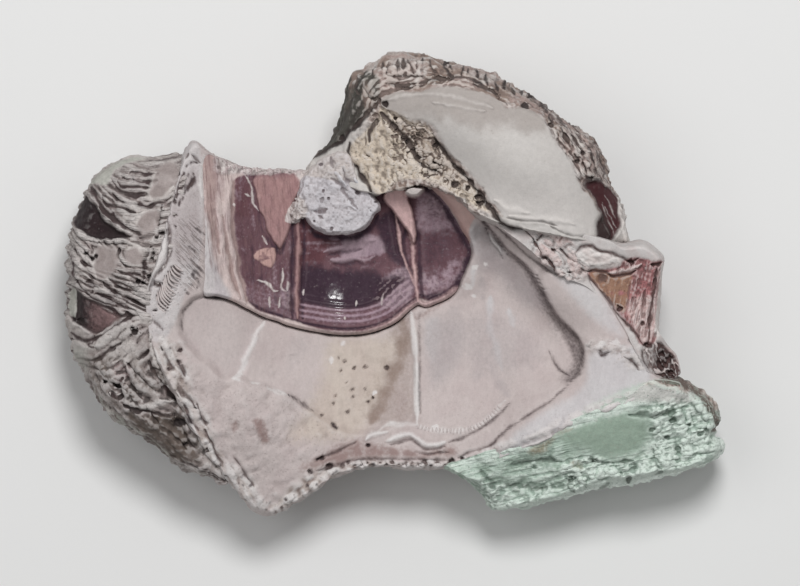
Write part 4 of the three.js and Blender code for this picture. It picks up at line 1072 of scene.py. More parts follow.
LEFT_OUTLINE = [
    (-41, 6), (-40, 12), (-38.7, 18), (-37.8, 23.5), (-40.5, 24.9), (-44, 24.5), (-48, 24.7), (-52, 23.3),
    (-55.3, 20.8), (-57.2, 17), (-59, 12.5), (-60, 7.5), (-60, 2), (-60.3, -3), (-59.7, -8.5), (-58, -13),
    (-55.4, -18), (-52.2, -22.5), (-48, -25.4), (-43.5, -28.3), (-39.6, -31.6), (-35, -33), (-31.4, -34.3),
    (-32.3, -30), (-36, -23.5), (-39.8, -17), (-43, -10), (-44.2, -4), (-43, 1),
]
LEFT_SPOTS = [
    (-39.5, 20, 31.5), (-41.5, 12, 33), (-43, 4, 33), (-45, -4, 31.5), (-43.5, -12, 29.5), (-40, -19, 27),
    (-36, -26, 24.5), (-33, -31, 21.5), (-45, 21, 31), (-47, 12, 33.5), (-48, 4, 33), (-49, -4, 32),
    (-48, -12, 30), (-45, -20, 25.5), (-40, -28, 20.5), (-51, 20, 29), (-54, 13, 29), (-55, 4, 30),
    (-55, -5, 28), (-53, -13, 26), (-50, -20, 22), (-56, 17, 25), (-58, 8, 25), (-58, -4, 23), (-57, -12, 20),
]
RIB_FURROWS = [  # the dark furrows between the ribs, from the mouth down
    [(-45.3, 23.8), (-42.3, 23.8), (-39.1, 23.9)], [(-48.4, 21.4), (-46.9, 21.4), (-45, 21.1), (-43.2, 21.3)],
    [(-49.7, 20.5), (-48.3, 20.2), (-46.4, 19.7), (-44.6, 19.9), (-43.4, 20.1)],
    [(-50.6, 19.9), (-49.9, 19), (-48, 18.9), (-46, 18.8), (-44.8, 18.7)],
    [(-51.7, 20.2), (-50.8, 19), (-49.4, 18.1), (-47.8, 17.6), (-45.5, 17.2)],
    [
        (-51.5, 17.9), (-50.6, 16.9), (-49.2, 16.5), (-46.9, 15.8), (-45, 15.4), (-43.4, 16.1), (-42.1, 16.4),
        (-40.2, 17.9),
    ],
    [(-53.1, 17.2), (-52.6, 16), (-51.7, 15.6), (-50.1, 15.1), (-48.7, 14.6), (-47.1, 14.2)],
    [
        (-56.1, 19.5), (-55, 18.1), (-54, 16.5), (-52.9, 14.7), (-51.5, 13.3), (-50.1, 12.3), (-48.3, 11.5),
        (-46.5, 10.5),
    ],
    [(-56.1, 9.6), (-54.7, 9.15), (-53.3, 9.15), (-51, 8.9), (-48.7, 8.9)],
    [(-50.1, 8), (-50.4, 6.4), (-49.4, 5.2)], [(-49.4, 5), (-48, 4.6)],
    [(-50.4, 4), (-49.4, 3.4), (-48.3, 3.4), (-46.4, 3.2)],
    [(-52, 2.6), (-50.6, 1.5), (-49.2, 0.7), (-47.4, 0.3), (-45.3, -0.5)],
    [(-52.9, 2), (-51.7, 0.6), (-49.9, -0.3), (-48.3, -1), (-46.9, -1.6), (-45.5, -1.9)],
    [(-54.5, 0), (-53.1, -0.8), (-52, -1.2), (-50.1, -1.9), (-48.7, -2.6), (-47.1, -3.1)],
    [
        (-58.2, 2.5), (-56.8, 0.7), (-55.2, -0.8), (-53.3, -1.9), (-51.7, -3), (-50.1, -3.9), (-48.3, -3.8),
        (-46.4, -4),
    ],
    [(-57.2, 6), (-56.1, 5), (-55.2, 4.5)], [(-56.5, 2.2), (-55.2, 1.4), (-53.8, 1)],
    [(-60, 7.5), (-58.8, 6.4), (-58.6, 4), (-57.9, 2.2)], [(-44.4, 8.2), (-45, 6.8), (-45.7, 4.1), (-46, 2)],
    [(-42.6, 15.6), (-42.9, 13.4), (-43.2, 11.6)], [(-58.3, 9.6), (-57, 8.4), (-56, 6.8)],
    [(-59.3, -6.9), (-57, -8.6), (-54.3, -8.2), (-52.5, -7), (-50.1, -5.2), (-47.4, -3.7)],
    [(-59.1, -10.3), (-57.6, -11.6), (-54.9, -11.9), (-53.1, -10.9), (-51, -9.4), (-50.1, -9.2)],
    [(-57.9, -12.5), (-55.8, -13.2), (-54, -13.5), (-53.1, -14.4)],
    [(-47, -11.9), (-45.6, -10.8), (-45, -10.2)],
    [(-44.8, -12.3), (-43.9, -14.1), (-42.6, -15.9), (-41.5, -18), (-40.3, -19.4)],
    [(-52, -15.6), (-51, -16.2), (-49.8, -15.3)], [(-51.9, -18), (-51, -18.9), (-50, -18.4)],
    [(-49.8, -20.1), (-47.4, -21), (-45, -21.3), (-42.6, -21.9), (-40.3, -21.9)],
    [(-44.8, -21.6), (-43.6, -23.4), (-41.5, -25.2), (-39.7, -26.7), (-38.2, -28.2)],
    [(-40.6, -22.6), (-39.4, -24), (-38.2, -26), (-36.8, -28)],
    [(-51.4, -21.8), (-49.6, -23.8), (-47.2, -24.8)], [(-47, -26), (-43.6, -27.6), (-40.4, -29.6)],
    [(-48.8, -12.6), (-46.6, -14.6), (-44, -17.6)],
]
PURPLE_BANDS = [
    [
        (-56.6, 17.4), (-54.5, 15.6), (-53.1, 13.5), (-51.5, 11.9), (-49.7, 11), (-48, 10.1), (-55, 9.9),
        (-57.2, 11.2), (-58.6, 12), (-57.8, 15),
    ],
    [
        (-58.6, 1.2), (-57, -0.2), (-55, -1.3), (-52, -3.2), (-50, -4.3), (-51.5, -5.5), (-53.4, -6.9),
        (-55, -7.3), (-57.4, -6), (-59.2, -5),
    ],
]
SMOOTH_PATCHES = [
    [
        (-45, 17.6), (-44.6, 16.4), (-42.5, 16.9), (-40.4, 19.3), (-39.8, 22.3), (-41, 23.1), (-43.3, 22),
        (-44.6, 19.6),
    ],
    [(-46.9, 13), (-45.5, 14.6), (-43.6, 14.9), (-43, 13), (-44, 11.2), (-45.5, 10.6), (-46.8, 11.5)],
    [(-54.4, 8), (-50.6, 7.8), (-50.8, 4.6), (-52, 3), (-54.6, 2.4), (-55.4, 4.6)],
    [(-49, 7.6), (-46.8, 8.4), (-45.8, 6.8), (-46.4, 5.2), (-48.6, 5.6)],
]
PATCH_RIMS = [
    [(-43.6, 21.6), (-44.7, 19.6), (-45.1, 17.7), (-44.3, 16.6), (-42.6, 16.9), (-40.7, 19.2)],
    [(-47, 12.6), (-46.6, 14), (-45.4, 14.8), (-43.8, 14.8)], [(-54.6, 7.6), (-55.2, 4.8), (-54.4, 2.6)],
    [(-49, 7.8), (-46.9, 8.4), (-45.8, 6.8)],
]
LEFT_HOLES = [
    (-42.6, 10.7, 1.4), (-43.5, 9.8, 1.5), (-43.9, 7.2, 1.3), (-44.1, 6.3), (-44.7, 3.2), (-46, 1.8),
    (-46.9, 1.9), (-56.3, 7.1, 1.5), (-55.4, 6.2, 1.6), (-54.5, 6.6), (-47.4, -7, 1.8), (-47.6, -6.2),
    (-43.9, -8.4, 1.3), (-39.7, -23.4, 2.2), (-38.6, -27, 1.6), (-57.4, -5, 1.4), (-50.6, -16.4, 1.6),
    (-53, -15.8, 1.2),
]


def build_left_shell():
    """The ribbed wall: ribs are what stands between the furrows, whose width is that of the shell's own
    plates. Fine ribs run along them as waves of the distance across."""
    growth = Growth(
        "ribbed_shell", LEFT_OUTLINE, centre=(-51, -4), top_rounding=5, foot_rounding=8, cells=274,
        wandering=0.8,
        tight=[(-39.5, 16, 9), (-41.5, 5, 9), (-44, -5, 8), (-41, -14, 8), (-37, -22, 8), (-33.5, -28, 7)],
    )
    x, y = growth.x, growth.y
    line, lines, region, spots = growth.plan.line, growth.plan.lines, growth.plan.region, growth.plan.spots
    furrows = lines(RIB_FURROWS, 0.4)
    bands = np.maximum(region(PURPLE_BANDS[0], 0.9), region(PURPLE_BANDS[1], 0.9))
    patches = np.max([region(patch, 0.9) for patch in SMOOTH_PATCHES], axis=0)
    holes = spots(LEFT_HOLES, 0.38)
    oval = region([(-58.3, 0.9), (-58.1, -1), (-58.5, -4.4), (-59.3, -4.2), (-59.5, -1.6), (-59, 0.8)], 0.6)
    crescent = region([
        (-57, 18.8), (-54.6, 21.4), (-51.4, 23.6), (-48, 25), (-44.6, 24.8), (-47, 24), (-49.6, 23),
        (-51.6, 21.4), (-52.4, 19.6), (-53.6, 19.4), (-55, 19.6),
    ], 0.9)
    crests = lines([
        [(-54, 15.2), (-52.9, 13.6), (-51.5, 12.2), (-49.4, 11.3), (-47.6, 10.8)],
        [(-49.8, -17.4), (-48.6, -19.2), (-46.3, -20.6), (-43.3, -19.8), (-40.3, -19.4)],
        [(-52.5, -20.4), (-51.9, -21.9), (-50.1, -24), (-47.4, -25.2)],
        [(-57.5, 10.6), (-54, 9.7), (-49, 9.6)], [(-58.6, -8.4), (-56.8, -9.8), (-54.2, -9.6), (-51.6, -7.8)],
        [(-45, -7.2), (-44.3, -9), (-44.1, -11.1), (-43.3, -13.2), (-42.1, -15.6), (-40.9, -18)],
        [(-51.2, -12.6), (-49.4, -12), (-48.6, -13.8)], [(-42, -30), (-38.6, -31.6), (-34.6, -32.6)],
    ], 0.6)
    low_part = smooth(-11.5, -14.5, y)
    field = growth.field
    rib_phase = y - 0.05 * (x + 44) ** 2 + 0.5 * noise(field, 7.0, 31) + 0.22 * noise(field, 2.2, 32)
    upper_ribs = waves(rib_phase, 1.18) * smooth(13.6, 15.4, y + 0.3 * (x + 48)) * (1 - patches)
    falling = y + 0.47 * (x + 46) + 0.4 * noise(field, 6.0, 33) + 0.2 * noise(field, 2.0, 34)
    lower_ribs = waves(falling, 0.92) * smooth(4.6, 2.4, y) * smooth(-4.6, -2.8, y) * (1 - bands)
    foot_ribs = waves(0.6 * x + 0.8 * y + 1.2 * noise(field, 5.0, 35), 2.6) * low_part
    broken = smooth(-0.75, 0.1, noise(field, 2.6, 36))
    high = (
        blend_spots(LEFT_SPOTS, 4, x, y) - 1.3 * smooth(-46.5, -43.4, x + 0.12 * y) * smooth(-24, -14, y)
        - 0.75 * furrows - 1.6 * bands + 0.35 * patches - 1.1 * holes + 0.9 * oval + 0.6 * crests
        + 0.7 * crescent + (0.18 * upper_ribs + 0.24 * lower_ribs) * broken + 0.3 * foot_ribs
    )
    low = 0.035 * (x + 50.5) ** 2 + 0.006 * (y + 1) ** 2 - 1.5 + 0.5 * fanned_ribs((-30, 0), 40, x, y)
    growth.raise_to(high, low)
    p = growth.points
    coarse, fine = fractal(p, 2.8, 2, 51), fractal(p, 1.05, 2, 54)
    wall = growth.side_wall(0.7, 0.1)
    facets = crumple(p, (-50, 2.3, 0.9), 3.6, 59)
    rising = y - 0.42 * np.abs(x + 54.5) + 0.3 * noise(field, 4.0, 38)
    nodules = mix(
        crumple(level(x, rib_phase), (0, 3.2, 1), 1.5, 60), crumple(level(x, falling), (0, 3.2, 1), 1.3, 62),
        smooth(6, 2.4, y),
    )
    nodules = mix(
        nodules, crumple(level(x, rising), (24, 1.7, 1), 2.3, 63), smooth(-3.6, -5.6, y + 0.1 * (x + 50)),
    )
    beaded = smooth(-16, -12, y) * (1 - patches) * (1 - bands) * (1 - crescent)
    gloomy = region([
        (-49.6, -21.4), (-44, -22), (-39.6, -22.4), (-37.6, -27), (-35.6, -31), (-40, -30.6), (-46, -26.6),
    ], 1.6)
    side_ribs = waves(p[:, 1] - 0.25 * p[:, 2] + 0.9 * noise(p, 8.0, 57), 1.9) * wall
    growth.push_out(
        0.10 * coarse + 0.10 * fine * (1 - 0.7 * patches)
        + low_part * ((0.8 * facets - 0.45) * (1 - 0.65 * wall) * (1 - 0.45 * gloomy) + 0.16 * fine)
        + beaded * (0.6 * nodules - 0.28) * mix(1, 0.7, smooth(-4, -7, y)) + 0.24 * side_ribs
        + wall * 0.14 * fine,
    )
    growth.mask(
        "furrow",
        largest(
            furrows, 0.5 * smooth(0.0, -0.7, upper_ribs) * broken,
            0.6 * smooth(0.1, -0.7, lower_ribs) * broken, 0.3 * smooth(0.0, -0.7, foot_ribs) * low_part,
            0.6 * low_part * smooth(0.2, 0.05, facets), 0.4 * smooth(0.1, -0.8, side_ribs),
            0.9 * beaded * smooth(0.22, 0.05, nodules),
        ) * (1 - 0.9 * patches) * (1 - oval) * (1 - 0.9 * crescent),
    )
    growth.mask(
        "dark", holes, 0.5 * low_part * smooth(0.1, 0.02, facets),
        0.8 * line([(-57.9, 1.2), (-57.6, -1), (-57.9, -4.6), (-59, -5.4)], 0.4),
    )
    growth.mask(
        "gloomy", gloomy * (0.9 + 0.5 * coarse),
        0.55 * smooth(-7, -3.5, x + 52) * smooth(-9, -13, y) * (0.6 + 0.6 * coarse),
    )
    growth.mask(
        "crescent",
        growth.is_top * smooth(0.1, 0.5, growth.bulge) * largest(
            crescent, oval, 0.6 * smooth(-54, -58, x) * smooth(-8, -11, y) * smooth(-22, -12, y),
            0.9 * line([
                (-55.6, -17), (-52.6, -21), (-49.6, -24), (-45.6, -26.6), (-41.6, -29.8),
            ], 0.8) * smooth(-0.5, 0.3, fine),
        ),
    )
    growth.mask("ribbed", beaded * smooth(-5, -3, y))
    growth.mask("purple", (1 - oval) * bands * np.where(y > 5, 1.0, smooth(-49.6, -53.2, x + 0.3 * coarse)))
    growth.mask(
        "pink", 0.85 * region(PURPLE_BANDS[1], 1.2) * smooth(-58.6, -51, x + 0.8 * coarse),
        0.5 * region([(-51.2, -12.4), (-48.6, -12.6), (-48.2, -15), (-50.8, -15.6)], 1.4),
    )
    growth.mask(
        "pale", oval, crests, 0.9 * lines(PATCH_RIMS, 0.5),
        0.9 * line([(-52.8, 19.2), (-51.8, 21.4), (-49.8, 23), (-47, 24.3)], 0.9),
        0.5 * smooth(0.3, 0.9, upper_ribs), 0.3 * smooth(0.3, 0.9, lower_ribs),
        0.5 * low_part * smooth(0.5, 0.9, facets) * (1 - gloomy), 0.65 * beaded * smooth(0.45, 0.85, nodules),
        0.7 * smooth(-56.4, -58.2, x) * smooth(1, 4, y) * smooth(11, 8, y), crescent,
        0.7 * smooth(-54, -58, x) * smooth(-6, -9, y) * smooth(-22, -12, y),
        0.6 * line([(-58.6, 1), (-57.4, -8), (-55.8, -14), (-52, -20), (-47, -25)], 1.6),
        region([(-52.6, -9.6), (-47.6, -8.2), (-46.6, -13.6), (-49.6, -14.6), (-52.6, -12.6)], 1.6) * 0.6,
    )
    growth.mask("rough", low_part * (1 - 0.6 * gloomy), wall, 0.6 * beaded)
    return growth


# ---------------------------------------------------------------- the neighbour above, seen from its base

UPPER_OUTLINE = [
    (41, 9.4), (40.6, 13), (39, 17.8), (37.3, 21), (36, 25.4), (34.4, 27.9), (31, 30), (27.5, 32.7),
    (23, 35.6), (18.5, 38.4), (13, 40.5), (7.5, 41.6), (3, 42.9), (-1.5, 43.3), (-5.5, 41), (-8.8, 38.4),
    (-10.2, 34.5), (-11.3, 30), (-13, 26.8), (-16.6, 22.2), (-10, 19), (-4, 17.5), (-1, 18.5), (4, 19.2),
    (9, 17.5), (14, 13.5), (20, 11.5), (28, 10), (35, 9),
]
UPPER_SPOTS = [
    # the smooth basal disc
    (0, 34, 35), (7, 33.5, 37.5), (14, 33, 38.5), (10, 28, 38.5), (18, 28, 39), (25, 30, 38), (15, 22, 37.6),
    (22, 22, 38.4), (29, 24, 37.8), (19, 16, 35.6), (26, 16, 36.2), (32, 17, 35.6), (34, 12, 33.6),
    (25, 12, 33.6), (29, 11, 33.2), (20, 12.6, 33.6),
    # the ribbed wall that falls away beyond it
    (-5, 38, 32.5), (0, 39.5, 32.5), (7, 39, 34), (14, 37.6, 34.5), (20, 35.2, 34.5), (26, 32.6, 34.5),
    (31, 28, 34), (34, 24, 31), (1, 42, 28), (37, 16, 26), (38.5, 11, 25),
    # the porous broken wall below the disc
    (-3, 30, 32), (-3, 24, 29.5), (2, 28, 32.5), (3, 22, 30.5), (7, 24, 33), (10, 20.5, 32.5), (-6, 20, 26.5),
    (-1, 20, 27.5), (6, 20, 30), (13, 16.5, 31.5),
    # the dark flank by the notch
    (-8, 34, 28), (-9, 29, 27), (-12, 25, 23.5), (-15, 22.5, 21), (-8, 24, 26),
]
DISC = [
    (35.6, 10.4), (35, 12.4), (35.6, 14.2), (35, 15.7), (33.8, 17.2), (32, 19.7), (30.8, 22.8), (29, 25.3),
    (27.2, 27.6), (26, 30.1), (24.2, 32.1), (22.2, 32.9), (19.3, 32.9), (17, 34.8), (15.4, 35.5), (13.3, 36),
    (8, 36.8), (3, 36), (-2.6, 35.2), (-3.4, 33.4), (-1.5, 32), (1.2, 31), (5.5, 30.2), (7.2, 27.2),
    (8.4, 25.2), (10.3, 23.2), (12.4, 21.4), (14.4, 19), (16, 16.4), (18.6, 13.8), (21, 12.6), (25, 12.2),
    (28.5, 11.2), (31.5, 10.4),
]
POROUS_WALL = [
    (-3.8, 33), (-1.4, 32.2), (1.4, 31), (5, 30), (6.6, 27.2), (8, 25.2), (10, 22.6), (12.6, 20.2),
    (14.4, 17.4), (16.4, 14.2), (13.6, 15.4), (10.6, 17.2), (7.6, 19.2), (4, 20.2), (0, 20.2), (-3.2, 17.6),
    (-5.2, 18.4), (-6.6, 20.6), (-8.4, 23.6), (-9, 26), (-6.4, 28.8), (-4.6, 31),
]
RIM_RIBS = [  # the dark gaps between the ribs of the rim beyond the disc, from left to right
    [(-7.6, 38.8), (-8, 37), (-7.4, 35.6)], [(-6.6, 36.8), (-5.6, 35.2), (-4.4, 34.4)],
    [(-6, 40.2), (-6.6, 38.2)], [(-4.7, 40.8), (-4.9, 39)], [(-3.2, 41.3), (-3.2, 39.8)],
    [(-2.2, 41.2), (-2.4, 38.9)], [(-0.6, 41.8), (-0.4, 39.2)], [(0.4, 42.1), (0.7, 40)],
    [(1.3, 42.2), (1.8, 40.8), (2.3, 39.2)], [(2.8, 41.6), (3.1, 40)], [(4, 42.2), (4.2, 40.6)],
    [(5, 41.9), (5.6, 40.6), (6.5, 39.4)], [(7.4, 41.4), (8.3, 40), (9.5, 38.6)], [(8.9, 41), (9.4, 39.8)],
    [(11.3, 40.8), (11, 38.6)], [(12.2, 40.2), (12, 38.8)], [(13.6, 40), (14.2, 38.6)],
    [(15.4, 39.2), (15.8, 37.2)], [(16.8, 38.6), (17.4, 36.2)], [(18.6, 38.2), (18.6, 36.4)],
    [(19.6, 37.4), (20.4, 35.4)], [(21.2, 37), (21.8, 35.6)], [(22.4, 36), (23.2, 35), (24.4, 34.4)],
    [(24.4, 34.9), (25.8, 33.4), (26.4, 32)], [(25.6, 34.2), (27.4, 32.6)], [(26.6, 32), (27.2, 30.4)],
    [(27.6, 32.4), (28.6, 30.6), (29.8, 29)], [(28.4, 29.4), (29.4, 27.6), (30.4, 26)],
    [(29.8, 30.8), (31.4, 29.2), (32.6, 27.4)], [(30.6, 28.4), (31.8, 26.4), (32.4, 24.6)],
    [(31.2, 24.8), (32, 23.4)], [(32.8, 28.6), (34, 26.6)], [(33.4, 26), (34.2, 24), (34.4, 22.6)],
    [(32.6, 23), (33.4, 21.4)], [(35.2, 25.4), (36, 23.2), (36.8, 21)], [(34.6, 22.4), (35.6, 20.6)],
    # the layers between the rim and the disc
    [(-2.6, 37.4), (0, 37), (3, 37.4), (6, 37.9), (9.6, 38.2)], [(0.4, 36.5), (2.6, 36.7), (4.4, 37.1)],
    [(9, 38.4), (13, 38), (16.4, 36.2)], [(13, 37.2), (15.4, 36.6), (17.4, 35.2)],
    [(-2, 38.6), (1, 38.8), (4, 38.6)],
]
PURPLE_HOLLOW = [
    (33.2, 19.6), (35, 20.2), (37.4, 19), (39.2, 16.9), (39.9, 14.7), (39.6, 12.2), (38.4, 10.4), (37.8, 9.4),
    (35.6, 9.6), (35.3, 12.4), (35.9, 14.2), (35.2, 16),
]
RIGHT_END = [(40.4, 9.6), (40.3, 13), (39.2, 17)]


def build_upper_shell():
    """The neighbour: a smooth disc stepped above its surroundings, radial ribs on the rim beyond it, a hollow
    with fine lines on the right, and a broken wall whose pores run into each other as worm-like channels."""
    growth = Growth(
        "basal_shell", UPPER_OUTLINE, centre=(13, 27), top_rounding=4, foot_rounding=12, cells=270,
        wandering=0.8, tight=[(30, 9.5, 11), (20, 11.5, 10), (10, 17, 9), (1, 19, 9), (-8, 19, 7)],
    )
    x, y, plan = growth.x, growth.y, growth.plan
    line, lines, region, spots = plan.line, plan.lines, plan.region, plan.spots
    field = growth.field
    disc = region(DISC, 1.0)
    porous = region(POROUS_WALL, 1.4)
    hollow = region(PURPLE_HOLLOW, 1.2)
    cracks = lines([
        [
            (-3.4, 34.4), (-5.1, 32.7), (-7, 30.8), (-8.8, 29), (-9.8, 27.7), (-12.2, 26.4), (-14.3, 25),
            (-16.4, 23.4),
        ],
        [(-9, 27), (-9, 25.3), (-8.5, 23.5), (-7.4, 22.1), (-6.5, 20.5), (-5.6, 19.1), (-5.2, 18)],
        [
            (-3.3, 32), (-1.9, 30.8), (-0.3, 28.8), (1.1, 27.4), (2, 26), (2.7, 24.4), (3.6, 23.2), (5, 22.3),
            (6.8, 21.8),
        ],
        [
            (6.2, 27.5), (7.6, 25.6), (8.7, 23.9), (10.1, 22.5), (11.7, 21.2), (12.8, 19.8), (14, 18.2),
            (15.2, 16.6), (17, 13.9), (19, 11.9), (22, 10.9),
        ],
        [(-4.4, 30.8), (-5.3, 29), (-5.5, 27.2)],
    ], 0.42)
    fine_cracks = lines([
        [(-2.1, 32.4), (-1.4, 31.7), (0.2, 31.3), (1.1, 30.4), (2.7, 29.9), (4.5, 29.7)],
        [(-6.1, 29.3), (-6.2, 26.6)], [(26.5, 11.9), (28.5, 10.9), (31, 10.2), (33.5, 10), (35, 10.1)],
        [(19, 13.6), (21.5, 12.9), (25, 12.7), (28, 11.8)],
        [(1.4, 29), (2.4, 29.3), (3.8, 28.8), (3, 27.8), (1.8, 28)], [(-3, 31.4), (-2, 30), (-1.2, 29)],
    ], 0.28)
    holes = spots([
        (9.8, 19.4, 1.5), (12.1, 18.9, 1.2), (14, 17.3), (14.5, 16.2, 1.1), (6.2, 23.2, 0.9),
        (6.4, 26.4, 0.9), (26.9, 29.7, 1.1), (31.4, 23.5, 1.2), (22.2, 33.3, 1.6), (-2.6, 33.8, 1.5),
        (32.6, 25, 1.2), (34.2, 20.7), (-10.4, 27.9, 1.3), (8.4, 41.2, 1.3), (23.4, 35.2, 1.4),
        (-0.6, 31, 0.8), (3.4, 24.3), (-5.6, 24.5, 0.8),
    ], 0.42)
    layers = lines([
        [(-2, 34.6), (3, 35.4), (8, 35.3), (12, 34.2), (16.6, 32.8)], [(6, 33.8), (10, 33.2), (15, 32.2)],
        [(19.4, 13.9), (23, 13.1), (27, 12.9), (31, 12.2)], [(16.8, 16.4), (19.6, 14.6), (23, 14.2)],
    ], 0.5)
    from_disc, _ = plan.to_curve(curve_through(DISC, closed=True), 5.0)
    rim = (
        (1 - disc) * (1 - porous) * (1 - hollow) * smooth(-11, -3.5, x + 0.35 * (y - 30))
        * smooth(12.5, 15.5, y)
    )
    rim_ribs = lines(RIM_RIBS, 0.34) * (1 - disc)
    ledges = waves(from_disc + 0.5 * noise(field, 3.0, 61), 1.1) * rim * smooth(3.4, 2.2, from_disc)
    worms = np.abs(noise(field, 0.9, 63) + 0.5 * noise(field, 0.5, 64))
    channels = (
        smooth(0.28, 0.05, worms) * porous * smooth(-0.6, 0.6, fractal(field, 3.0, 2, 66) + 0.12 * x)
        * smooth(11, 7, x)
    )
    cells = pore_distance(field, 1.5, 68)
    hollow_lines = (
        lines([
            [(36.2, 16.8), (37, 14), (38.4, 10.6)], [(36.8, 15.6), (38, 13), (38.8, 11.6)],
            [(35.8, 15.2), (36.6, 12.4), (37.4, 10.6)], [(36.6, 17.6), (37.8, 15.4), (38.6, 13)],
        ], 0.17)
        * hollow
    )
    flank = region([
        (-3.6, 34.6), (-4.2, 39), (-9, 39.6), (-12, 31), (-15, 25), (-9.8, 27.8), (-6, 31.4),
    ], 1.6)
    flank_streaks = waves(0.83 * x - 0.56 * y + 0.8 * noise(field, 5.0, 71), 1.5) * flank
    rim_pits = (
        rim * smooth(0.45, 0.2, pore_distance(field, 1.55, 73)) * smooth(-0.5, 0.4, noise(field, 5.5, 74))
    )
    high = (
        blend_spots(UPPER_SPOTS, 3.6, x, y)
        + mix(0.15, 1.0, smooth(12, 22, y - 0.35 * np.maximum(0, 24 - x))) * disc + 0.3 * layers
        - 2.8 * hollow - 0.95 * cracks - 0.35 * fine_cracks - 1.0 * holes - 0.9 * rim_ribs + 0.14 * ledges
        - 0.3 * rim_pits - 0.55 * channels - 0.4 * porous * smooth(0.3, 0.14, cells) * smooth(2, 4.4, x)
        + 0.2 * hollow_lines + 0.13 * flank_streaks + 0.8 * line(RIGHT_END, 0.5)
        + 0.4 * line([(-4.4, 33.2), (-7.2, 30), (-9.5, 27.4), (-9.7, 25)], 0.55)
    )
    low = 0.016 * (x - 15) ** 2 + 0.02 * (y - 28) ** 2 - 1.5 + 0.4 * fanned_ribs((15, 28), 38, x, y)
    growth.raise_to(high, low)
    p = growth.points
    coarse, fine = fractal(p, 2.8, 2, 81), fractal(p, 1.05, 2, 84)
    wall = growth.side_wall(0.8, 0.2)
    growth.push_out(
        0.05 * coarse * disc + (1 - disc) * (0.16 * coarse + 0.12 * fine)
        + rim * (0.26 * coarse + 0.2 * fine) * (1 - 0.5 * flank) + porous * (0.2 * coarse + 0.14 * fine)
        + wall * (0.2 * coarse + 0.16 * fine)
        + (~growth.is_top) * 0.16 * waves(p[:, 2] + 0.8 * noise(p, 7.0, 87), 2.0),
    )
    band = region([
        (-5, 33.6), (-9.6, 27.6), (-16.6, 23), (-15, 21), (-9, 20), (-5, 17.6), (-6.8, 20.8), (-8.8, 24),
        (-8.6, 26.6), (-6, 29), (-5, 31),
    ], 0.8)
    growth.mask(
        "dark", cracks, 0.55 * fine_cracks, holes, channels * mix(0.3, 0.6, smooth(-3, 2, x + 2 * coarse)),
        0.45 * porous * smooth(0.3, 0.14, cells) * smooth(2, 4.4, x), 0.5 * rim_pits, 0.85 * rim_ribs,
        0.3 * smooth(0.2, -0.8, ledges), 0.4 * smooth(0.3, -0.7, flank_streaks) * flank,
        0.7 * region([(35, 9.4), (35, 15.4), (36.4, 15), (37.4, 12.6), (38, 9.4)], 1.4) * hollow,
    )
    growth.mask("purple", hollow)
    growth.mask("cream", porous)
    growth.mask("greyed", flank, rim * 0.3 * smooth(0.0, 0.8, coarse) * smooth(26, 18, x))
    growth.mask("mauve", rim * (0.6 + 0.4 * coarse), 0.9 * rim * smooth(3, 1.4, from_disc))
    growth.mask(
        # painted light: the lower part of the disc is made paler where it lies in shade
        "pale", 0.3 * band, 0.4 * layers, 0.5 * disc * smooth(26, 16, y), 0.6 * rim * smooth(0.1, 0.8, fine),
        0.55 * hollow_lines, 1.3 * line(RIGHT_END, 0.6), 0.5 * line([(5.6, 30), (7.2, 27.4), (9, 25)], 0.4),
        0.7 * line([(33.2, 18.6), (30.6, 23), (26.6, 29), (24.6, 32)], 0.5),
    )
    growth.mask("shade", np.maximum(
        smooth(29, 34.5, y + 0.12 * x + 1.2 * coarse), smooth(2.0, 0.4, from_disc) * smooth(30, 33, y),
    ) * disc)
    growth.mask(
        "brown", 0.8 * channels, 0.95 * rim * smooth(-0.2, 0.5, noise(p, 3.5, 88)),
        wall * smooth(21, 20, y) * smooth(-5, -2, x) * smooth(17, 14, x),
        porous * 0.5 * region([
            (-1, 30.5), (6, 30), (9, 25), (13.5, 19), (10, 18.6), (5, 21.4), (2, 25),
        ], 1.6),
    )
    growth.mask("streaked", rim * smooth(20, 27, x))
    growth.mask("rough", porous, rim, wall * (1 - flank), 0.15 * flank)
    return growth


# ---------------------------------------------------------------- the broken wall on the right

RIGHT_OUTLINE = [
    (47.4, 4), (47.6, 6.4), (46, 8.2), (43.8, 9.5), (40, 9.2), (34, 10.6), (28, 11.8), (22, 13.2), (17, 15.3),
    (14.2, 16.3), (17, 12.4), (21, 9.4), (25.5, 5.6), (29, 3), (33.1, 1.2), (36.7, -2.8), (40.2, -8),
    (42.6, -12.3), (44.6, -16), (48.6, -15.9), (50.4, -14.6), (50, -11.8), (48.3, -9.4), (46.8, -7.2),
    (46.9, -3),
]
RIGHT_SPOTS = [
    (15.5, 15.2, 31.4), (20, 12.3, 32.4), (25, 9.8, 32.6), (31, 9.8, 32.8), (37, 8.8, 32), (43, 8.2, 31),
    (46.3, 6.6, 30), (26, 7.2, 30.6), (30, 5.4, 30.2), (35, 5.6, 31), (38.5, 5.8, 29.5), (33, 3.2, 28.8),
    (46.7, 2, 28.5), (18.6, 12, 30), (22, 9, 29.6), (25.6, 5.8, 29.4), (29, 3.2, 29), (33.4, 1.6, 28.6),
    (36.6, -2, 28.2), (39.6, -7, 28), (41.8, -10.6, 27.6), (43.4, -14, 27), (46.2, -4, 26.5), (42.5, 3, 26.2),
    (39, 2.5, 26.6), (42, -1.5, 25.4), (44, -6, 24.4), (36.5, 0.5, 27.8), (40.4, -4.6, 26.6), (43, -10, 26),
    (45, -14, 24.5), (47.5, -12, 21.5), (49, -14, 19),
]


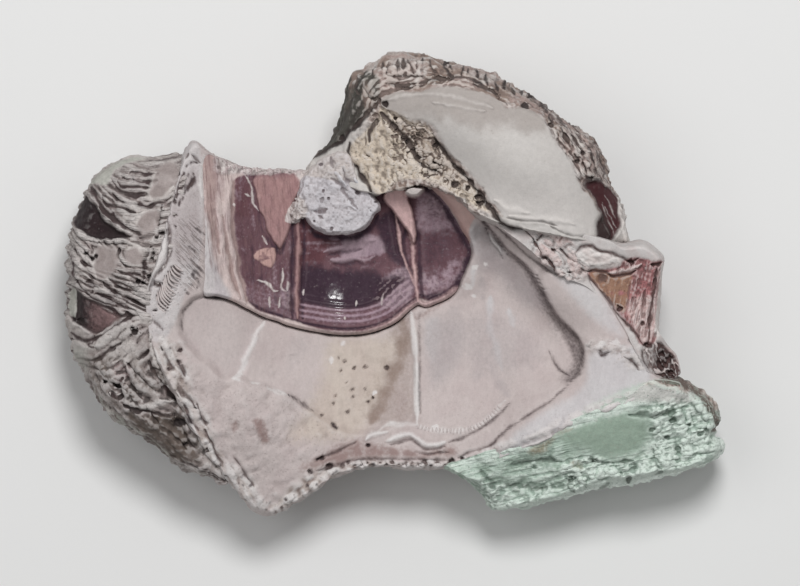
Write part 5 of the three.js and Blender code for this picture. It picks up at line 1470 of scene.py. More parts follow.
def build_right_shell():
    """The broken wall on the right: a thick pale rim round a pink-brown hollow with steep streaks, porous
    lumps on its left, and a dark scrap of outer wall with pale veins below it."""
    growth = Growth(
        "broken_wall", RIGHT_OUTLINE, centre=(41, -1), top_rounding=1.6, foot_rounding=7, cells=196,
        wandering=0.8,
        tight=[
            (18, 14, 7), (24, 8, 7), (30, 3, 7), (37, -2, 7), (42, -9, 6), (44, -14, 4), (24, 12.6, 8),
            (33, 10.6, 7),
        ],
    )
    x, y = growth.x, growth.y
    line, lines, region, spots = growth.plan.line, growth.plan.lines, growth.plan.region, growth.plan.spots
    field = growth.field
    inside = region([
        (47, 5.4), (44.4, 5.9), (41.4, 6.3), (39.4, 5), (36.8, 4.3), (33.6, 3.6), (36, 0.4), (38.6, -2.8),
        (41.6, -6.4), (43.6, -9.4), (45.6, -8.4), (46, -4), (46.7, 0.6),
    ], 1.0)
    brown = region([
        (33.6, 3.7), (36.6, 4.1), (38.6, 3.3), (41.6, 4), (41.2, 0.6), (40.4, -3.4), (38.4, -2.6),
        (35.6, 0.6),
    ], 1.2)
    scrap = region([
        (43.6, -9.6), (46.2, -8.6), (48.4, -10.4), (49.8, -12), (50.3, -15.6), (45, -15.8), (43.8, -13),
    ], 0.8)
    lumps = region([
        (23, 9.8), (27, 11.4), (31, 9.2), (32, 6.4), (34, 4.6), (33, 2.4), (29, 2.4), (25, 5.6),
    ], 1.4)
    leaning = x - 0.2 * y
    drawn = level(leaning * 1.9, (y + 0.2 * x) * 0.42)
    streaks = 1.7 * noise(drawn, 1.5, 91) + 0.9 * noise(drawn, 0.7, 92)
    curled = level(1.1 * (0.9 * x + 0.45 * y), 0.24 * (0.9 * y - 0.45 * x))
    veins = smooth(0.26, 0.06, np.abs(noise(curled, 0.95, 93) + 0.3 * noise(field, 0.8, 94)))
    pink_edge = line([(46.9, 5), (46.6, 1), (46.1, -3.4), (45.7, -7.6)], 0.9)
    cracks = lines([
        [(31.3, 7), (32.3, 8.2), (33.5, 8.5), (35.6, 7.7), (37.8, 7), (39.8, 6.2), (41, 5.7), (42.6, 6.2)],
        [(32.4, 4.6), (33.6, 3.8), (35.1, 3.9), (36.9, 3.9), (37.7, 3.2), (40.1, 3.2), (42.3, 4.1)],
        [
            (33.2, 3.7), (34.5, 1.8), (36, 0), (37.5, -1.8), (38.4, -2.9), (40.1, -5), (41.4, -6.3),
            (42.8, -8.1), (43.8, -9.6),
        ],
        [(43.6, -10.5), (43.8, -12.7), (44.3, -14)], [(45.8, -15.3), (47.6, -15.9), (50, -15.9)],
        [(46.2, 4.6), (45.4, 0.9), (44.9, -3.9), (44.5, -8.6)], [(28.8, 8), (30, 6.4), (32, 5.2)],
        [(24, 9.3), (24.8, 7.6), (25.5, 6.5), (27.4, 4.9), (28.2, 3.9), (29.4, 3.6)],
        [(15, 16.2), (17, 14), (18.6, 12.6), (20, 11.7), (21.6, 11.5), (22.6, 10.9), (23.9, 9.5)],
        [(24.6, 9.4), (25.6, 10.6), (26.4, 10.8)],
    ], 0.3)
    ledge = line([(37.2, 3.7), (40.1, 3.9), (41.4, 4.4), (43.2, 5.1)], 0.5)
    eye = np.hypot(x - 36.2, y - 2.7)
    holes = spots([
        (41.2, 5.6, 1.3), (45.3, 5.1, 1.1), (46.4, 5.1), (39.4, -2.9, 1.4), (43.4, -5.4, 0.9),
        (47.2, -13, 2.2), (48.4, -12, 1.4), (47, -11, 1.2), (27.4, 7.7, 0.9), (25.9, 6.2, 1.1),
        (30.4, 3.8, 0.8), (48.8, -14.2, 1.2), (44.2, -9.2, 1.5),
    ], 0.42)
    white_lump = region([(32, 7), (33.4, 8), (36.4, 7.2), (39.4, 6), (39.6, 5), (35, 4.8), (32.4, 5.6)], 1.0)
    high = (
        blend_spots(RIGHT_SPOTS, 2.6, x, y) - 0.5 * inside + 0.2 * streaks * inside * (1 - 0.8 * brown)
        - 0.7 * cracks + 0.7 * ledge - 0.4 * smooth(1.4, 0.4, eye) - 1.0 * holes + 0.6 * white_lump
        + scrap * (0.7 * veins - 0.7)
    )
    low = 9 + 0.03 * (x - 38) ** 2 + 0.03 * (y + 1) ** 2 - 0.22 * (y + 14)
    growth.raise_to(high, low)
    p = growth.points
    coarse, fine = fractal(p, 2.2, 2, 95), fractal(p, 0.95, 2, 97)
    knobs = crumple(p * FLAT, (-40, 1.2, 1), 1.5, 99)
    wall = growth.side_wall(0.6, 0.1)
    growth.push_out(
        0.05 * coarse + lumps * (0.42 * knobs - 0.2 + 0.16 * fine) + white_lump * 0.3 * fine
        + inside * 0.16 * (1 - 0.7 * brown) * fine + wall * 0.16 * coarse + scrap * 0.2 * fine,
    )
    growth.mask("inside", inside)
    growth.mask("brown", 0.9 * brown * smooth(-0.9, 0.0, coarse + 0.4))
    growth.mask(
        "white", 0.9 * white_lump, smooth(46.1, 46.7, x - 0.1 * y) * smooth(-8.5, -7, y) * smooth(6, 5, y),
    )
    growth.mask(
        "dark", 0.85 * cracks, holes, 0.62 * smooth(1.6, 0.5, eye + 0.3 * fine),
        mix(0.4, 1.0, smooth(45, 47, x + 0.3 * coarse)) * scrap * (1 - 0.9 * veins),
        0.36 * inside * smooth(-0.2, -1.3, streaks) * (1 - 0.9 * brown),
        0.5 * line([(36.6, -0.6), (38.4, -2.6), (39.8, -4)], 0.8), 0.25 * lumps * smooth(0.14, 0.03, knobs),
    )
    growth.mask("streaked", inside * (1 - 0.8 * brown))
    growth.mask(
        "pale", ledge, 0.35 * inside * smooth(0.0, 1.3, streaks) * (1 - 0.95 * brown), 0.75 * pink_edge,
        0.75 * region([(41, -1.4), (45.8, -0.6), (45.4, -8), (43.6, -9), (41.6, -6)], 2.4),
        0.6 * lumps * smooth(0.4, 0.8, knobs), 0.45 * scrap * veins,
        0.9 * line([(46.4, -8.8), (48.4, -10.4), (49.8, -12.4), (50.2, -15)], 0.4),
        0.7 * line([(36, -0.6), (38, -2.4), (41, -6.2)], 0.4),
    )
    growth.mask("rough", lumps, inside, scrap, wall)
    return growth


# ---------------------------------------------------------------- the green crust and the chalk lump

CRUST_OUTLINE = [
    (58.6, -27.4), (57, -25.6), (57.8, -22.4), (57.2, -20.2), (54, -17.6), (50.3, -15.6), (45, -15.3),
    (40, -18.6), (33, -21.2), (26, -24.4), (18, -27.6), (12, -29.6), (7.6, -31.2), (11.5, -33.2),
    (14.2, -35.8), (16.3, -38.4), (21, -39), (28, -37.4), (36, -35.3), (42, -34.3), (48, -32.9), (54, -31.5),
    (57.4, -29.8),
]
CRUST_SPOTS = [
    (12, -31, 20.1), (19, -29, 23.6), (27, -26, 26.1), (34, -23, 27.3), (41, -19.5, 28.2), (47, -17.5, 28),
    (53, -19, 24.5), (56, -22, 21.5), (20, -33, 19.5), (29, -30, 22.4), (38, -27, 24.4), (46, -24, 24.6),
    (53, -25, 22.4), (19, -37, 15), (28, -34.5, 17.4), (37, -32.5, 19), (46, -29.5, 20.4), (54, -29, 18.6),
]
CRUST_TOP_EDGE = [(9, -31), (14, -30.4), (20, -28), (27, -25.4), (34, -22), (41, -20.4), (46, -18)]
CRUST_FOOT_EDGE = [(16, -38.2), (22, -38.4), (30, -36.4), (38, -34.8), (46, -33.2), (54, -31.4)]


def build_green_crust():
    """The crust: thin uneven strata that rise to the right, in terraces where they break off, and a crumbly
    part of small raised flakes."""
    growth = Growth(
        "layered_crust", CRUST_OUTLINE, centre=(37, -28), top_rounding=2.2, foot_rounding=7, cells=226,
        wandering=0.8, tight=[(46, -15.4, 7), (38, -19.2, 8), (28, -23.6, 8), (18, -27.6, 8), (10, -30.4, 5)],
    )
    x, y = growth.x, growth.y
    line, lines, region, spots = growth.plan.line, growth.plan.lines, growth.plan.region, growth.plan.spots
    field = growth.field
    plain = region([
        (28, -25), (34, -22.4), (40, -21.2), (44.4, -22.4), (45, -26), (42.6, -29), (37, -29.8), (33, -28.4),
        (29, -27),
    ], 4.4)
    fading = smooth(-21, -18.2, y + 0.05 * (x - 46)) * smooth(36, 42, x) * smooth(54.5, 51, x)
    left_half = smooth(39, 31, x)
    rusty = region([(23, -28.6), (24.2, -27.4), (26, -26.8), (27.2, -26.2), (26.6, -28), (25, -28.8)], 1.7)
    crumbly = largest(
        region([(45, -20.6), (52, -18.6), (57.6, -22), (58.6, -28), (50, -31), (45.4, -29), (46, -25)], 2.0),
        region([(29, -31), (35, -29.6), (40, -31), (46, -29.4), (52, -31), (42, -34), (32, -36)], 1.6),
        0.7 * region([(14, -34), (20, -34.6), (28, -35), (24, -38.4), (16, -38.6)], 1.4),
    )
    lie = 0.97 * y - 0.2 * x + 0.9 * noise(field, 7.0, 101) + 0.3 * noise(field, 2.6, 102)
    band = lie / 1.35
    terrace = band - np.floor(band)
    stratum = (smooth(0.0, 0.24, terrace) - 0.85 * terrace) * smooth(-0.5, 0.5, noise(field, 5.0, 103))
    shards = crumple(field, (14, 1.35, 1), 1.45, 104)
    layers = mix(
        crumple(field, (11, 2.3, 0.9), 1.4, 107), crumple(field, (13, 3.4, 0.95), 1.3, 109), left_half,
    )
    furrows = lines([
        [(15.6, -33.6), (20, -34.8), (26, -35.1), (31, -34.6)], [(14.6, -31.8), (16, -33.6), (18, -34.4)],
        [(31, -33.6), (30.4, -34.8), (31.6, -35.6)], [(35, -30), (38, -30.6), (42, -30)],
        [(35, -30.4), (34.4, -29.6)], [(20, -31), (24, -30.2), (29, -30.4)],
        [(45.6, -28), (46, -30.4), (47, -31.6)], [(41, -21.9), (45, -22), (50, -21.4)],
        [(52.4, -20), (55, -23)], [(55, -24), (54.8, -26.4)], [(46, -33), (47.4, -32.2)],
        [(36, -35.2), (38, -34.6)],
    ], 0.5)
    holes = spots([
        (35.2, -30.3, 1.3), (31.2, -33.2, 1.4), (49, -22.8, 1.1), (52, -23.8), (54, -25.4), (48, -26),
        (41.2, -33.6), (24, -31.6, 0.8), (16.6, -34.6, 1.3), (45.4, -24.6, 0.9), (50, -28),
    ], 0.5)
    rim = line([
        (45.8, -15.6), (50.6, -16.2), (53.2, -18), (55, -19.7), (56.6, -21.4), (57.2, -23.4), (56.6, -25),
    ], 1.0)
    edge = line([(51.9, -16.5), (55, -18.2), (56.8, -19.8), (58, -21.4)], 0.8)
    high = (
        blend_spots(CRUST_SPOTS, 3.4, x, y)
        + (0.3 * stratum + 0.35 * layers - 0.18) * (1 - 0.9 * plain) * (1 - 0.85 * np.maximum(fading, rusty))
        + 0.35 * noise(field, 2.2, 108) * (1 - plain) + crumbly * (1 - fading) * (0.95 * shards - 0.45)
        - 0.6 * furrows - 0.7 * holes - 0.8 * rim + 0.5 * edge
        + 0.25 * line([(44.4, -15.6), (46, -16.4), (47.6, -17), (49.7, -17.1)], 0.8)
    )
    low = 0.012 * (x - 40) ** 2 + 0.05 * (y + 26.5) ** 2 - 1.4
    growth.raise_to(high, low)
    p = growth.points
    coarse, fine = fractal(p, 2.6, 2, 111), fractal(p, 1.0, 2, 114)
    wall = growth.side_wall(0.8, 0.2)
    layered = waves(p[:, 2] + 0.06 * p[:, 0] + 0.7 * noise(p, 6.0, 117), 1.4)
    growth.push_out(
        0.08 * coarse + (1 - plain) * (1 - 0.7 * fading) * (0.18 * coarse + 0.12 * fine)
        + crumbly * 0.16 * fine + wall * (0.24 * coarse + 0.2 * fine + 0.16 * layered),
    )
    border = lines([CRUST_TOP_EDGE, CRUST_FOOT_EDGE], 1.2)
    growth.mask(
        "deep", 0.85 * plain, 0.5 * smooth(0.2, -0.5, coarse) * (1 - crumbly),
        # painted shade: the wall term darkens the steep left face
        left_half * (1 - border) * (0.3 + 0.4 * coarse), wall * smooth(24, 17, x),
    )
    # painted light on the side of the lower edge, which faces away from the lamp
    growth.mask("painted_light_edge", wall * growth.is_top * smooth(20, 28, x) * smooth(-24, -28, y))
    growth.mask(
        "pale", crumbly * smooth(0.3, 0.75, shards),
        # partly painted light: the side wall and foot edge are made paler where they face away from the lamp
        mix(0.75, 0.45, left_half) * smooth(0.45, 0.9, layers) * (1 - plain), 0.9 * wall * smooth(19, 26, x),
        0.8 * line(CRUST_TOP_EDGE, 1.1) * smooth(0.2, 0.6, shards + 0.3), 0.8 * line(CRUST_FOOT_EDGE, 1.2),
    )
    growth.mask("brown", 0.9 * rim, 0.7 * edge * smooth(0.3, -0.4, fine))
    growth.mask(
        "rusty", (0.85 + 0.3 * fine) * rusty, 0.5 * line([(26.6, -26.4), (28.4, -25.2), (31, -24.4)], 0.6),
        0.5 * line([(30.6, -30.6), (33, -31.4)], 0.6),
    )
    growth.mask("dark", largest(
        0.7 * furrows, 0.75 * holes, 0.7 * crumbly * smooth(0.2, 0.03, shards),
        # painted shade on the steep left face at the foot
        0.35 * smooth(20, 15, x) * smooth(-32, -35, y), 0.22 * smooth(0.14, 0.02, layers) * (1 - plain),
    ) * (1 - 0.8 * fading))
    growth.mask("layered", (1 - plain) * (1 - crumbly) * left_half * (1 - growth.masks["brown"]))
    growth.mask("rose", edge, 0.8 * line([(43, -16.4), (46, -16.2), (49.7, -16.9), (52, -17.6)], 0.8))
    growth.mask("wall_pale", fading)
    growth.mask("rough", 1 - plain, 0.3)
    return growth


CHALK_OUTLINE = [
    (-3.5, 15.2), (-4.6, 17.2), (-6.5, 19.6), (-8.2, 22.4), (-9.4, 25.4), (-12.5, 25), (-15.6, 23),
    (-17.6, 20.4), (-18.6, 17), (-20, 14.2), (-19.3, 12.9), (-17.4, 13.6), (-16.1, 12.1), (-13.4, 10.8),
    (-10, 10.5), (-7, 11.2), (-5.2, 12.7), (-4.6, 14.2),
]
CHALK_SPOTS = [
    (-12, 20, 26), (-15, 17, 24.6), (-10, 15, 24.8), (-6.5, 16, 25), (-12.5, 12, 23.8), (-8, 12, 23.9),
    (-11, 23.5, 27), (-8, 19, 26.5), (-18.4, 14.6, 22), (-16, 21, 24.5),
]


def build_chalk_lump():
    """The chalk lump: a soft low boulder with a few folds, small pits and one smudge."""
    growth = Growth(
        "chalk_boulder", CHALK_OUTLINE, centre=(-11, 17.5), top_rounding=0.7, foot_rounding=1.2, cells=130,
    )
    x, y = growth.x, growth.y
    lines, region, spots = growth.plan.lines, growth.plan.region, growth.plan.spots
    folds = lines([
        [(-12.6, 20.4), (-10.7, 19.4), (-10.2, 18.4), (-9.3, 17.5), (-8.3, 15.9), (-7.9, 15.2)],
        [(-10.4, 22.5), (-9.7, 20.7), (-8.6, 19.6), (-7.6, 18)], [(-12.6, 24.6), (-12, 22.6)],
        [(-14, 16.4), (-13.6, 17)],
    ], 0.4)
    crests = lines([
        [(-9, 16.6), (-8.2, 15)], [(-11.6, 21.6), (-9.4, 18.6)], [(-7.9, 20.6), (-6.8, 18.4)],
    ], 0.5)
    pits = spots([
        (-13.7, 18.3), (-14.2, 23.2, 1.4), (-12.6, 16.9, 0.8), (-4.6, 16.2), (-5.4, 14.6, 0.8),
        (-12.4, 11.8, 0.9), (-8.6, 19.6), (-7.6, 18, 1.3), (-15.4, 13, 0.8),
    ], 0.24)
    smudge = lines([[(-15.5, 14.5), (-14, 14.6), (-12.9, 15)], [(-14.6, 13.9), (-13.9, 13.5)]], 0.4)
    lobe = region([(-20.4, 14.4), (-19.6, 12.6), (-17.2, 13.2), (-16.6, 15), (-18, 17.4), (-19, 16.6)], 1.0)
    high = blend_spots(CHALK_SPOTS, 2.4, x, y) - 0.45 * folds + 0.4 * crests - 0.5 * pits - 0.25 * smudge
    growth.raise_to(high, 17.4 + 0.3 * np.maximum(0, y - 15))
    p = growth.points
    coarse, fine = fractal(p, 2.4, 2, 121), fractal(p, 0.8, 2, 124)
    growth.push_out(
        0.2 * coarse + 0.15 * fine + lobe * (
            0.25 * fine + 0.4 * crumple(p * FLAT, (0, 1, 1), 1.6, 127) - 0.2
        ),
    )
    growth.mask("dark", 0.7 * folds, 0.9 * pits, 0.9 * smudge)
    # pale: the crests, and the lower rim made paler as painted light where its rounding turns from the lamp
    growth.mask(
        "pale", 0.7 * crests, 0.2 * smooth(0.95, 0.6, growth.bulge) * growth.is_top * smooth(16, 12, y),
    )
    growth.mask("creamy", lobe, smooth(19.8, 20.8, y + 0.5 * coarse + 0.12 * (x + 12)))
    growth.mask("rough", 0.55 + 0.3 * coarse)
    return growth


# ---------------------------------------------------------------- shader node groups


class Nodes:
    """Adds shader nodes to a tree: an input given as a socket is linked, and any other is a plain value."""

    def __init__(self, tree):
        self.tree = tree

    def add(self, kind, inputs, **settings):
        node = self.tree.nodes.new(kind)
        for name, value in settings.items():
            setattr(node, name, value)
        for key, value in inputs.items():
            if isinstance(value, bpy.types.NodeSocket):
                self.tree.links.new(value, node.inputs[key])
            else:
                node.inputs[key].default_value = value
        return node

    def math(self, operation, a, b=0.0, c=0.0):
        """The value of a math node with up to three inputs."""
        return self.add("ShaderNodeMath", {0: a, 1: b, 2: c}, operation=operation).outputs[0]

    def sway(self, noise, amount, level):
        """A value that swings round level by noise, from 0 to 1, times amount."""
        return self.math("MULTIPLY_ADD", self.math("SUBTRACT", noise, 0.5), amount, level)

    def blend(self, factor, a, b, kind="MIX"):
        """Colour a where the factor is 0 and b, or the product of the two, where it is 1."""
        inputs = {0: factor, 6: a, 7: b}
        return self.add("ShaderNodeMix", inputs, data_type="RGBA", blend_type=kind).outputs[2]

    def step(self, value, low, high, to_low=0.0, to_high=1.0):
        """A smooth step from to_low, where the value is low, to to_high."""
        inputs = {"Value": value, "From Min": low, "From Max": high, "To Min": to_low, "To Max": to_high}
        return self.add("ShaderNodeMapRange", inputs, interpolation_type="SMOOTHSTEP").outputs[0]

    def millimetres(self):
        """The object's own coordinates, in millimetres."""
        place = self.add("ShaderNodeTexCoord", {}).outputs["Object"]
        return self.add("ShaderNodeVectorMath", {0: place, 1: 3 * (1 / MM,)}, operation="MULTIPLY").outputs[0]

    def noise(self, place, size, detail=2.0):
        """Noise from 0 to 1 whose lumps are size millimetres across."""
        scale = self.math("DIVIDE", 1.0, size)
        inputs = {"Vector": place, "Scale": scale, "Detail": detail}
        return self.add("ShaderNodeTexNoise", inputs).outputs["Fac"]

    def attribute(self, name):
        """A mask that is stored with the surface."""
        return self.add("ShaderNodeAttribute", {}, attribute_name=name).outputs["Fac"]

    def group(self, tree, inputs):
        """The output of a node group with the given inputs, by name."""
        return self.add("ShaderNodeGroup", inputs, node_tree=tree).outputs[0]


def new_group(name, inputs, output):
    """A node group with the given inputs (name, kind, default) and one output (name, kind)."""
    tree = bpy.data.node_groups.new(name, "ShaderNodeTree")
    for label, kind, default in inputs:
        socket = tree.interface.new_socket(label, in_out="INPUT", socket_type=f"NodeSocket{kind}")
        socket.default_value = default
    tree.interface.new_socket(output[0], in_out="OUTPUT", socket_type=f"NodeSocket{output[1]}")
    source = tree.nodes.new("NodeGroupInput").outputs
    sink = tree.nodes.new("NodeGroupOutput").inputs[0]
    return tree, Nodes(tree), source, sink


PATCH_EDGE = 0.48  # the value of a mask at which its patch ends
# how far the value runs to each side while the patch fades, where it has no softness of its own
PATCH_SOFTNESS = 0.42


def build_ragged_patch():
    """A patch whose edge is broken up by fine noise: the mask plus noise, cut off by a narrow smooth step."""
    tree, nodes, given, out = new_group("ragged patch", [
        ("Mask", "Float", 0.0), ("Raggedness", "Float", 0.3), ("Softness", "Float", 0.4),
    ], ("Mask", "Float"))
    broken = nodes.sway(nodes.noise(nodes.millimetres(), 0.55, 3.0), given["Raggedness"], given["Mask"])
    low, high = (nodes.math(side, PATCH_EDGE, given["Softness"]) for side in ("SUBTRACT", "ADD"))
    tree.links.new(nodes.step(broken, low, high), out)
    return tree


def build_strokes():
    """Thin broken strokes that all lie one way: noise drawn out along the angle, in radians from +X, and cut
    off."""
    tree, nodes, given, out = new_group("strokes", [
        ("Mask", "Float", 1.0), ("Angle", "Float", 0.0), ("Length", "Float", 3.0), ("Width", "Float", 0.3),
    ], ("Mask", "Float"))
    turned = nodes.add(
        "ShaderNodeVectorRotate", {"Vector": nodes.millimetres(), "Angle": given["Angle"]},
        rotation_type="Z_AXIS", invert=True,
    ).outputs[0]
    along, across = nodes.math("DIVIDE", 1.0, given["Length"]), nodes.math("DIVIDE", 1.0, given["Width"])
    stretch = nodes.add("ShaderNodeCombineXYZ", {0: along, 1: across, 2: along}).outputs[0]
    drawn = nodes.add("ShaderNodeVectorMath", {0: turned, 1: stretch}, operation="MULTIPLY").outputs[0]
    strokes = nodes.step(nodes.noise(drawn, 1.0, 1.0), 0.5, 0.66)
    tree.links.new(nodes.math("MULTIPLY", strokes, given["Mask"]), out)
    return tree


def build_mottle():
    """The colour made lighter and darker by lumps of three sizes, and multiplied by the tint in the
    largest."""
    tree, nodes, given, out = new_group("mottle", [
        ("Color", "Color", (0.5, 0.5, 0.5, 1)), ("Tint", "Color", (0.9, 0.85, 0.8, 1)),
        ("Tinting", "Float", 0.2), ("Cloud", "Float", 0.2), ("Speckle", "Float", 0.2), ("Size", "Float", 4.0),
        ("Lie", "Vector", (1, 1, 1)),
    ], ("Color", "Color"))
    spread = {0: nodes.millimetres(), 1: given["Lie"]}
    place = nodes.add("ShaderNodeVectorMath", spread, operation="MULTIPLY").outputs[0]
    large = nodes.noise(place, given["Size"], 3.0)
    middle = nodes.noise(place, 0.9, 3.0)
    small = nodes.noise(place, 0.22, 2.0)
    tinting = nodes.math("MULTIPLY", nodes.step(large, 0.42, 0.66), given["Tinting"])
    tinted = nodes.blend(tinting, given["Color"], given["Tint"], "MULTIPLY")
    shade = nodes.sway(small, given["Speckle"], nodes.sway(middle, given["Cloud"], 1.0))
    scaled = nodes.add("ShaderNodeVectorMath", {0: tinted}, operation="SCALE")
    tree.links.new(shade, scaled.inputs["Scale"])
    tree.links.new(scaled.outputs[0], out)
    return tree


def build_crevice_and_crest():
    """Dirt and painted shade where the surface lies under its surroundings, and worn pale crests where it
    stands over them.
    """
    tree, nodes, given, out = new_group("crevice and crest", [
        ("Color", "Color", (0.5, 0.5, 0.5, 1)), ("Hollow", "Float", 0.0),
        ("Dirt and Shade Color", "Color", (0.1, 0.07, 0.07, 1)), ("Dirt and Shade", "Float", 0.5),
        ("Crest Color", "Color", (0.7, 0.68, 0.66, 1)), ("Wear", "Float", 0.3), ("Pores", "Float", 0.0),
    ], ("Color", "Color"))
    broken = nodes.sway(nodes.noise(nodes.millimetres(), 0.4), 0.05, given["Hollow"])
    open_pores = nodes.step(nodes.noise(nodes.millimetres(), 0.42, 3.0), 0.45, 0.27)
    # the crevices are darkened by how far they lie under their surroundings: painted shade as well as dirt
    crevices = nodes.math("MULTIPLY", nodes.step(broken, 0.004, 0.10), given["Dirt and Shade"])
    dirt_and_shade = nodes.math("MAXIMUM", crevices, nodes.math("MULTIPLY", open_pores, given["Pores"]))
    wear = nodes.math("MULTIPLY", nodes.step(broken, -0.01, -0.09), given["Wear"])
    dirty_and_shaded = nodes.blend(dirt_and_shade, given["Color"], given["Dirt and Shade Color"])
    tree.links.new(nodes.blend(wear, dirty_and_shaded, given["Crest Color"]), out)
    return tree


def build_stone_grain():
    """The height, in millimetres, of the grain that is finer than the mesh: two sizes of noise, and pin
    pricks."""
    tree, nodes, given, out = new_group("stone grain", [
        ("Rough", "Float", 0.0), ("Smooth Height", "Float", 0.02), ("Rough Height", "Float", 0.12),
    ], ("Height", "Float"))
    place = nodes.millimetres()
    lumps, grains = nodes.noise(place, 0.75, 3.0), nodes.noise(place, 0.2, 2.0)
    cells = nodes.add("ShaderNodeTexVoronoi", {"Vector": place, "Scale": 1.4}).outputs["Distance"]
    pricks = nodes.math("MULTIPLY", nodes.step(cells, 0.22, 0.06), nodes.step(lumps, 0.5, 0.7))
    grain = nodes.math("MULTIPLY_ADD", grains, 0.45, lumps)
    height = nodes.math(
        "MULTIPLY_ADD", given["Rough"], nodes.math("SUBTRACT", given["Rough Height"], given["Smooth Height"]),
        given["Smooth Height"],
    )
    tree.links.new(nodes.math("MULTIPLY", height, nodes.math("MULTIPLY_ADD", pricks, -0.9, grain)), out)
    return tree


RAGGED_PATCH = build_ragged_patch()
MOTTLE = build_mottle()
CREVICE_AND_CREST = build_crevice_and_crest()
STONE_GRAIN = build_stone_grain()
STROKES = build_strokes()


def rgba(colour):
    return (*colour, 1.0)


def growth_material(
    name, colour, patches, tint, dirt_and_shade, crest, roughness=(0.72, 0.9), grain=(0.03, 0.2), polish=None,
    tinting=0.35, cloud=0.3, speckle=0.3, dirt_and_shade_amount=0.6, wear=0.35, size=4.0, lie=(1.0, 1.0, 1.0),
    pores=0.7, even=0.3, strokes=(),
):
    """One growth's material: its ground colour, its patches laid over each other in order, each (mask,
    colour, raggedness, and its softness where it has its own), mottling, dirt and painted shade in the
    crevices, and wear, of which even is the share that smooth parts get, and grain, as its height on smooth
    and on rough parts. polish is the mask of a clear glossy coat. strokes are (mask, angle in degrees,
    length, width, colour, strength, depth), all sizes in millimetres."""
    material = bpy.data.materials.new(name)
    material.use_nodes = True
    nodes = Nodes(material.node_tree)
    shader = material.node_tree.nodes["Principled BSDF"]
    shown = rgba(colour)
    for mask, patch_colour, raggedness, *softness in patches:
        values = {
            "Mask": nodes.attribute(mask), "Raggedness": raggedness,
            "Softness": (*softness, PATCH_SOFTNESS)[0],
        }
        shown = nodes.blend(nodes.group(RAGGED_PATCH, values), shown, rgba(patch_colour))
    sunk = 0.0
    for mask, angle, length, width, stroke_colour, strength, depth in strokes:
        values = {"Mask": nodes.attribute(mask), "Angle": np.radians(angle), "Length": length, "Width": width}
        drawn = nodes.group(STROKES, values)
        shown = nodes.blend(nodes.math("MULTIPLY", drawn, strength), shown, rgba(stroke_colour))
        sunk = nodes.math("MULTIPLY_ADD", drawn, depth, sunk)
    shown = nodes.group(MOTTLE, {
        "Color": shown, "Tint": rgba(np.divide(tint, colour)), "Tinting": tinting, "Cloud": cloud,
        "Speckle": speckle, "Size": size, "Lie": lie,
    })
    dirt_and_shade_weight, worn = (
        nodes.math("MULTIPLY_ADD", nodes.attribute("rough"), (1 - even) * most, even * most)
        for most in (dirt_and_shade_amount, wear)
    )
    shown = nodes.group(CREVICE_AND_CREST, {
        "Color": shown, "Hollow": nodes.attribute("hollow"), "Dirt and Shade Color": rgba(dirt_and_shade), "Dirt and Shade": dirt_and_shade_weight,
        "Crest Color": rgba(crest), "Wear": worn,
        "Pores": nodes.math("MULTIPLY", nodes.attribute("rough"), pores),
    })
    place = nodes.millimetres()
    sheen = nodes.step(nodes.noise(place, 1.3, 3.0), 0.3, 0.7, *roughness)
    height = nodes.group(STONE_GRAIN, {
        "Rough": nodes.attribute("rough"), "Smooth Height": grain[0], "Rough Height": grain[1],
    })
    height = nodes.math("SUBTRACT", height, sunk)
    bump = nodes.add("ShaderNodeBump", {"Height": height, "Distance": MM, "Strength": 1.0}).outputs[0]
    links = material.node_tree.links
    for socket, value in (("Base Color", shown), ("Roughness", sheen), ("Normal", bump)):
        links.new(value, shader.inputs[socket])
    shader.inputs["Specular IOR Level"].default_value = 0.1 if polish else 0.3
    if polish:
        links.new(nodes.attribute(polish), shader.inputs["Coat Weight"])
        shader.inputs["Coat Roughness"].default_value = 0.17
    return material


DARK = (0.045, 0.03, 0.032)
CHALK_WHITE = (0.64, 0.61, 0.6)

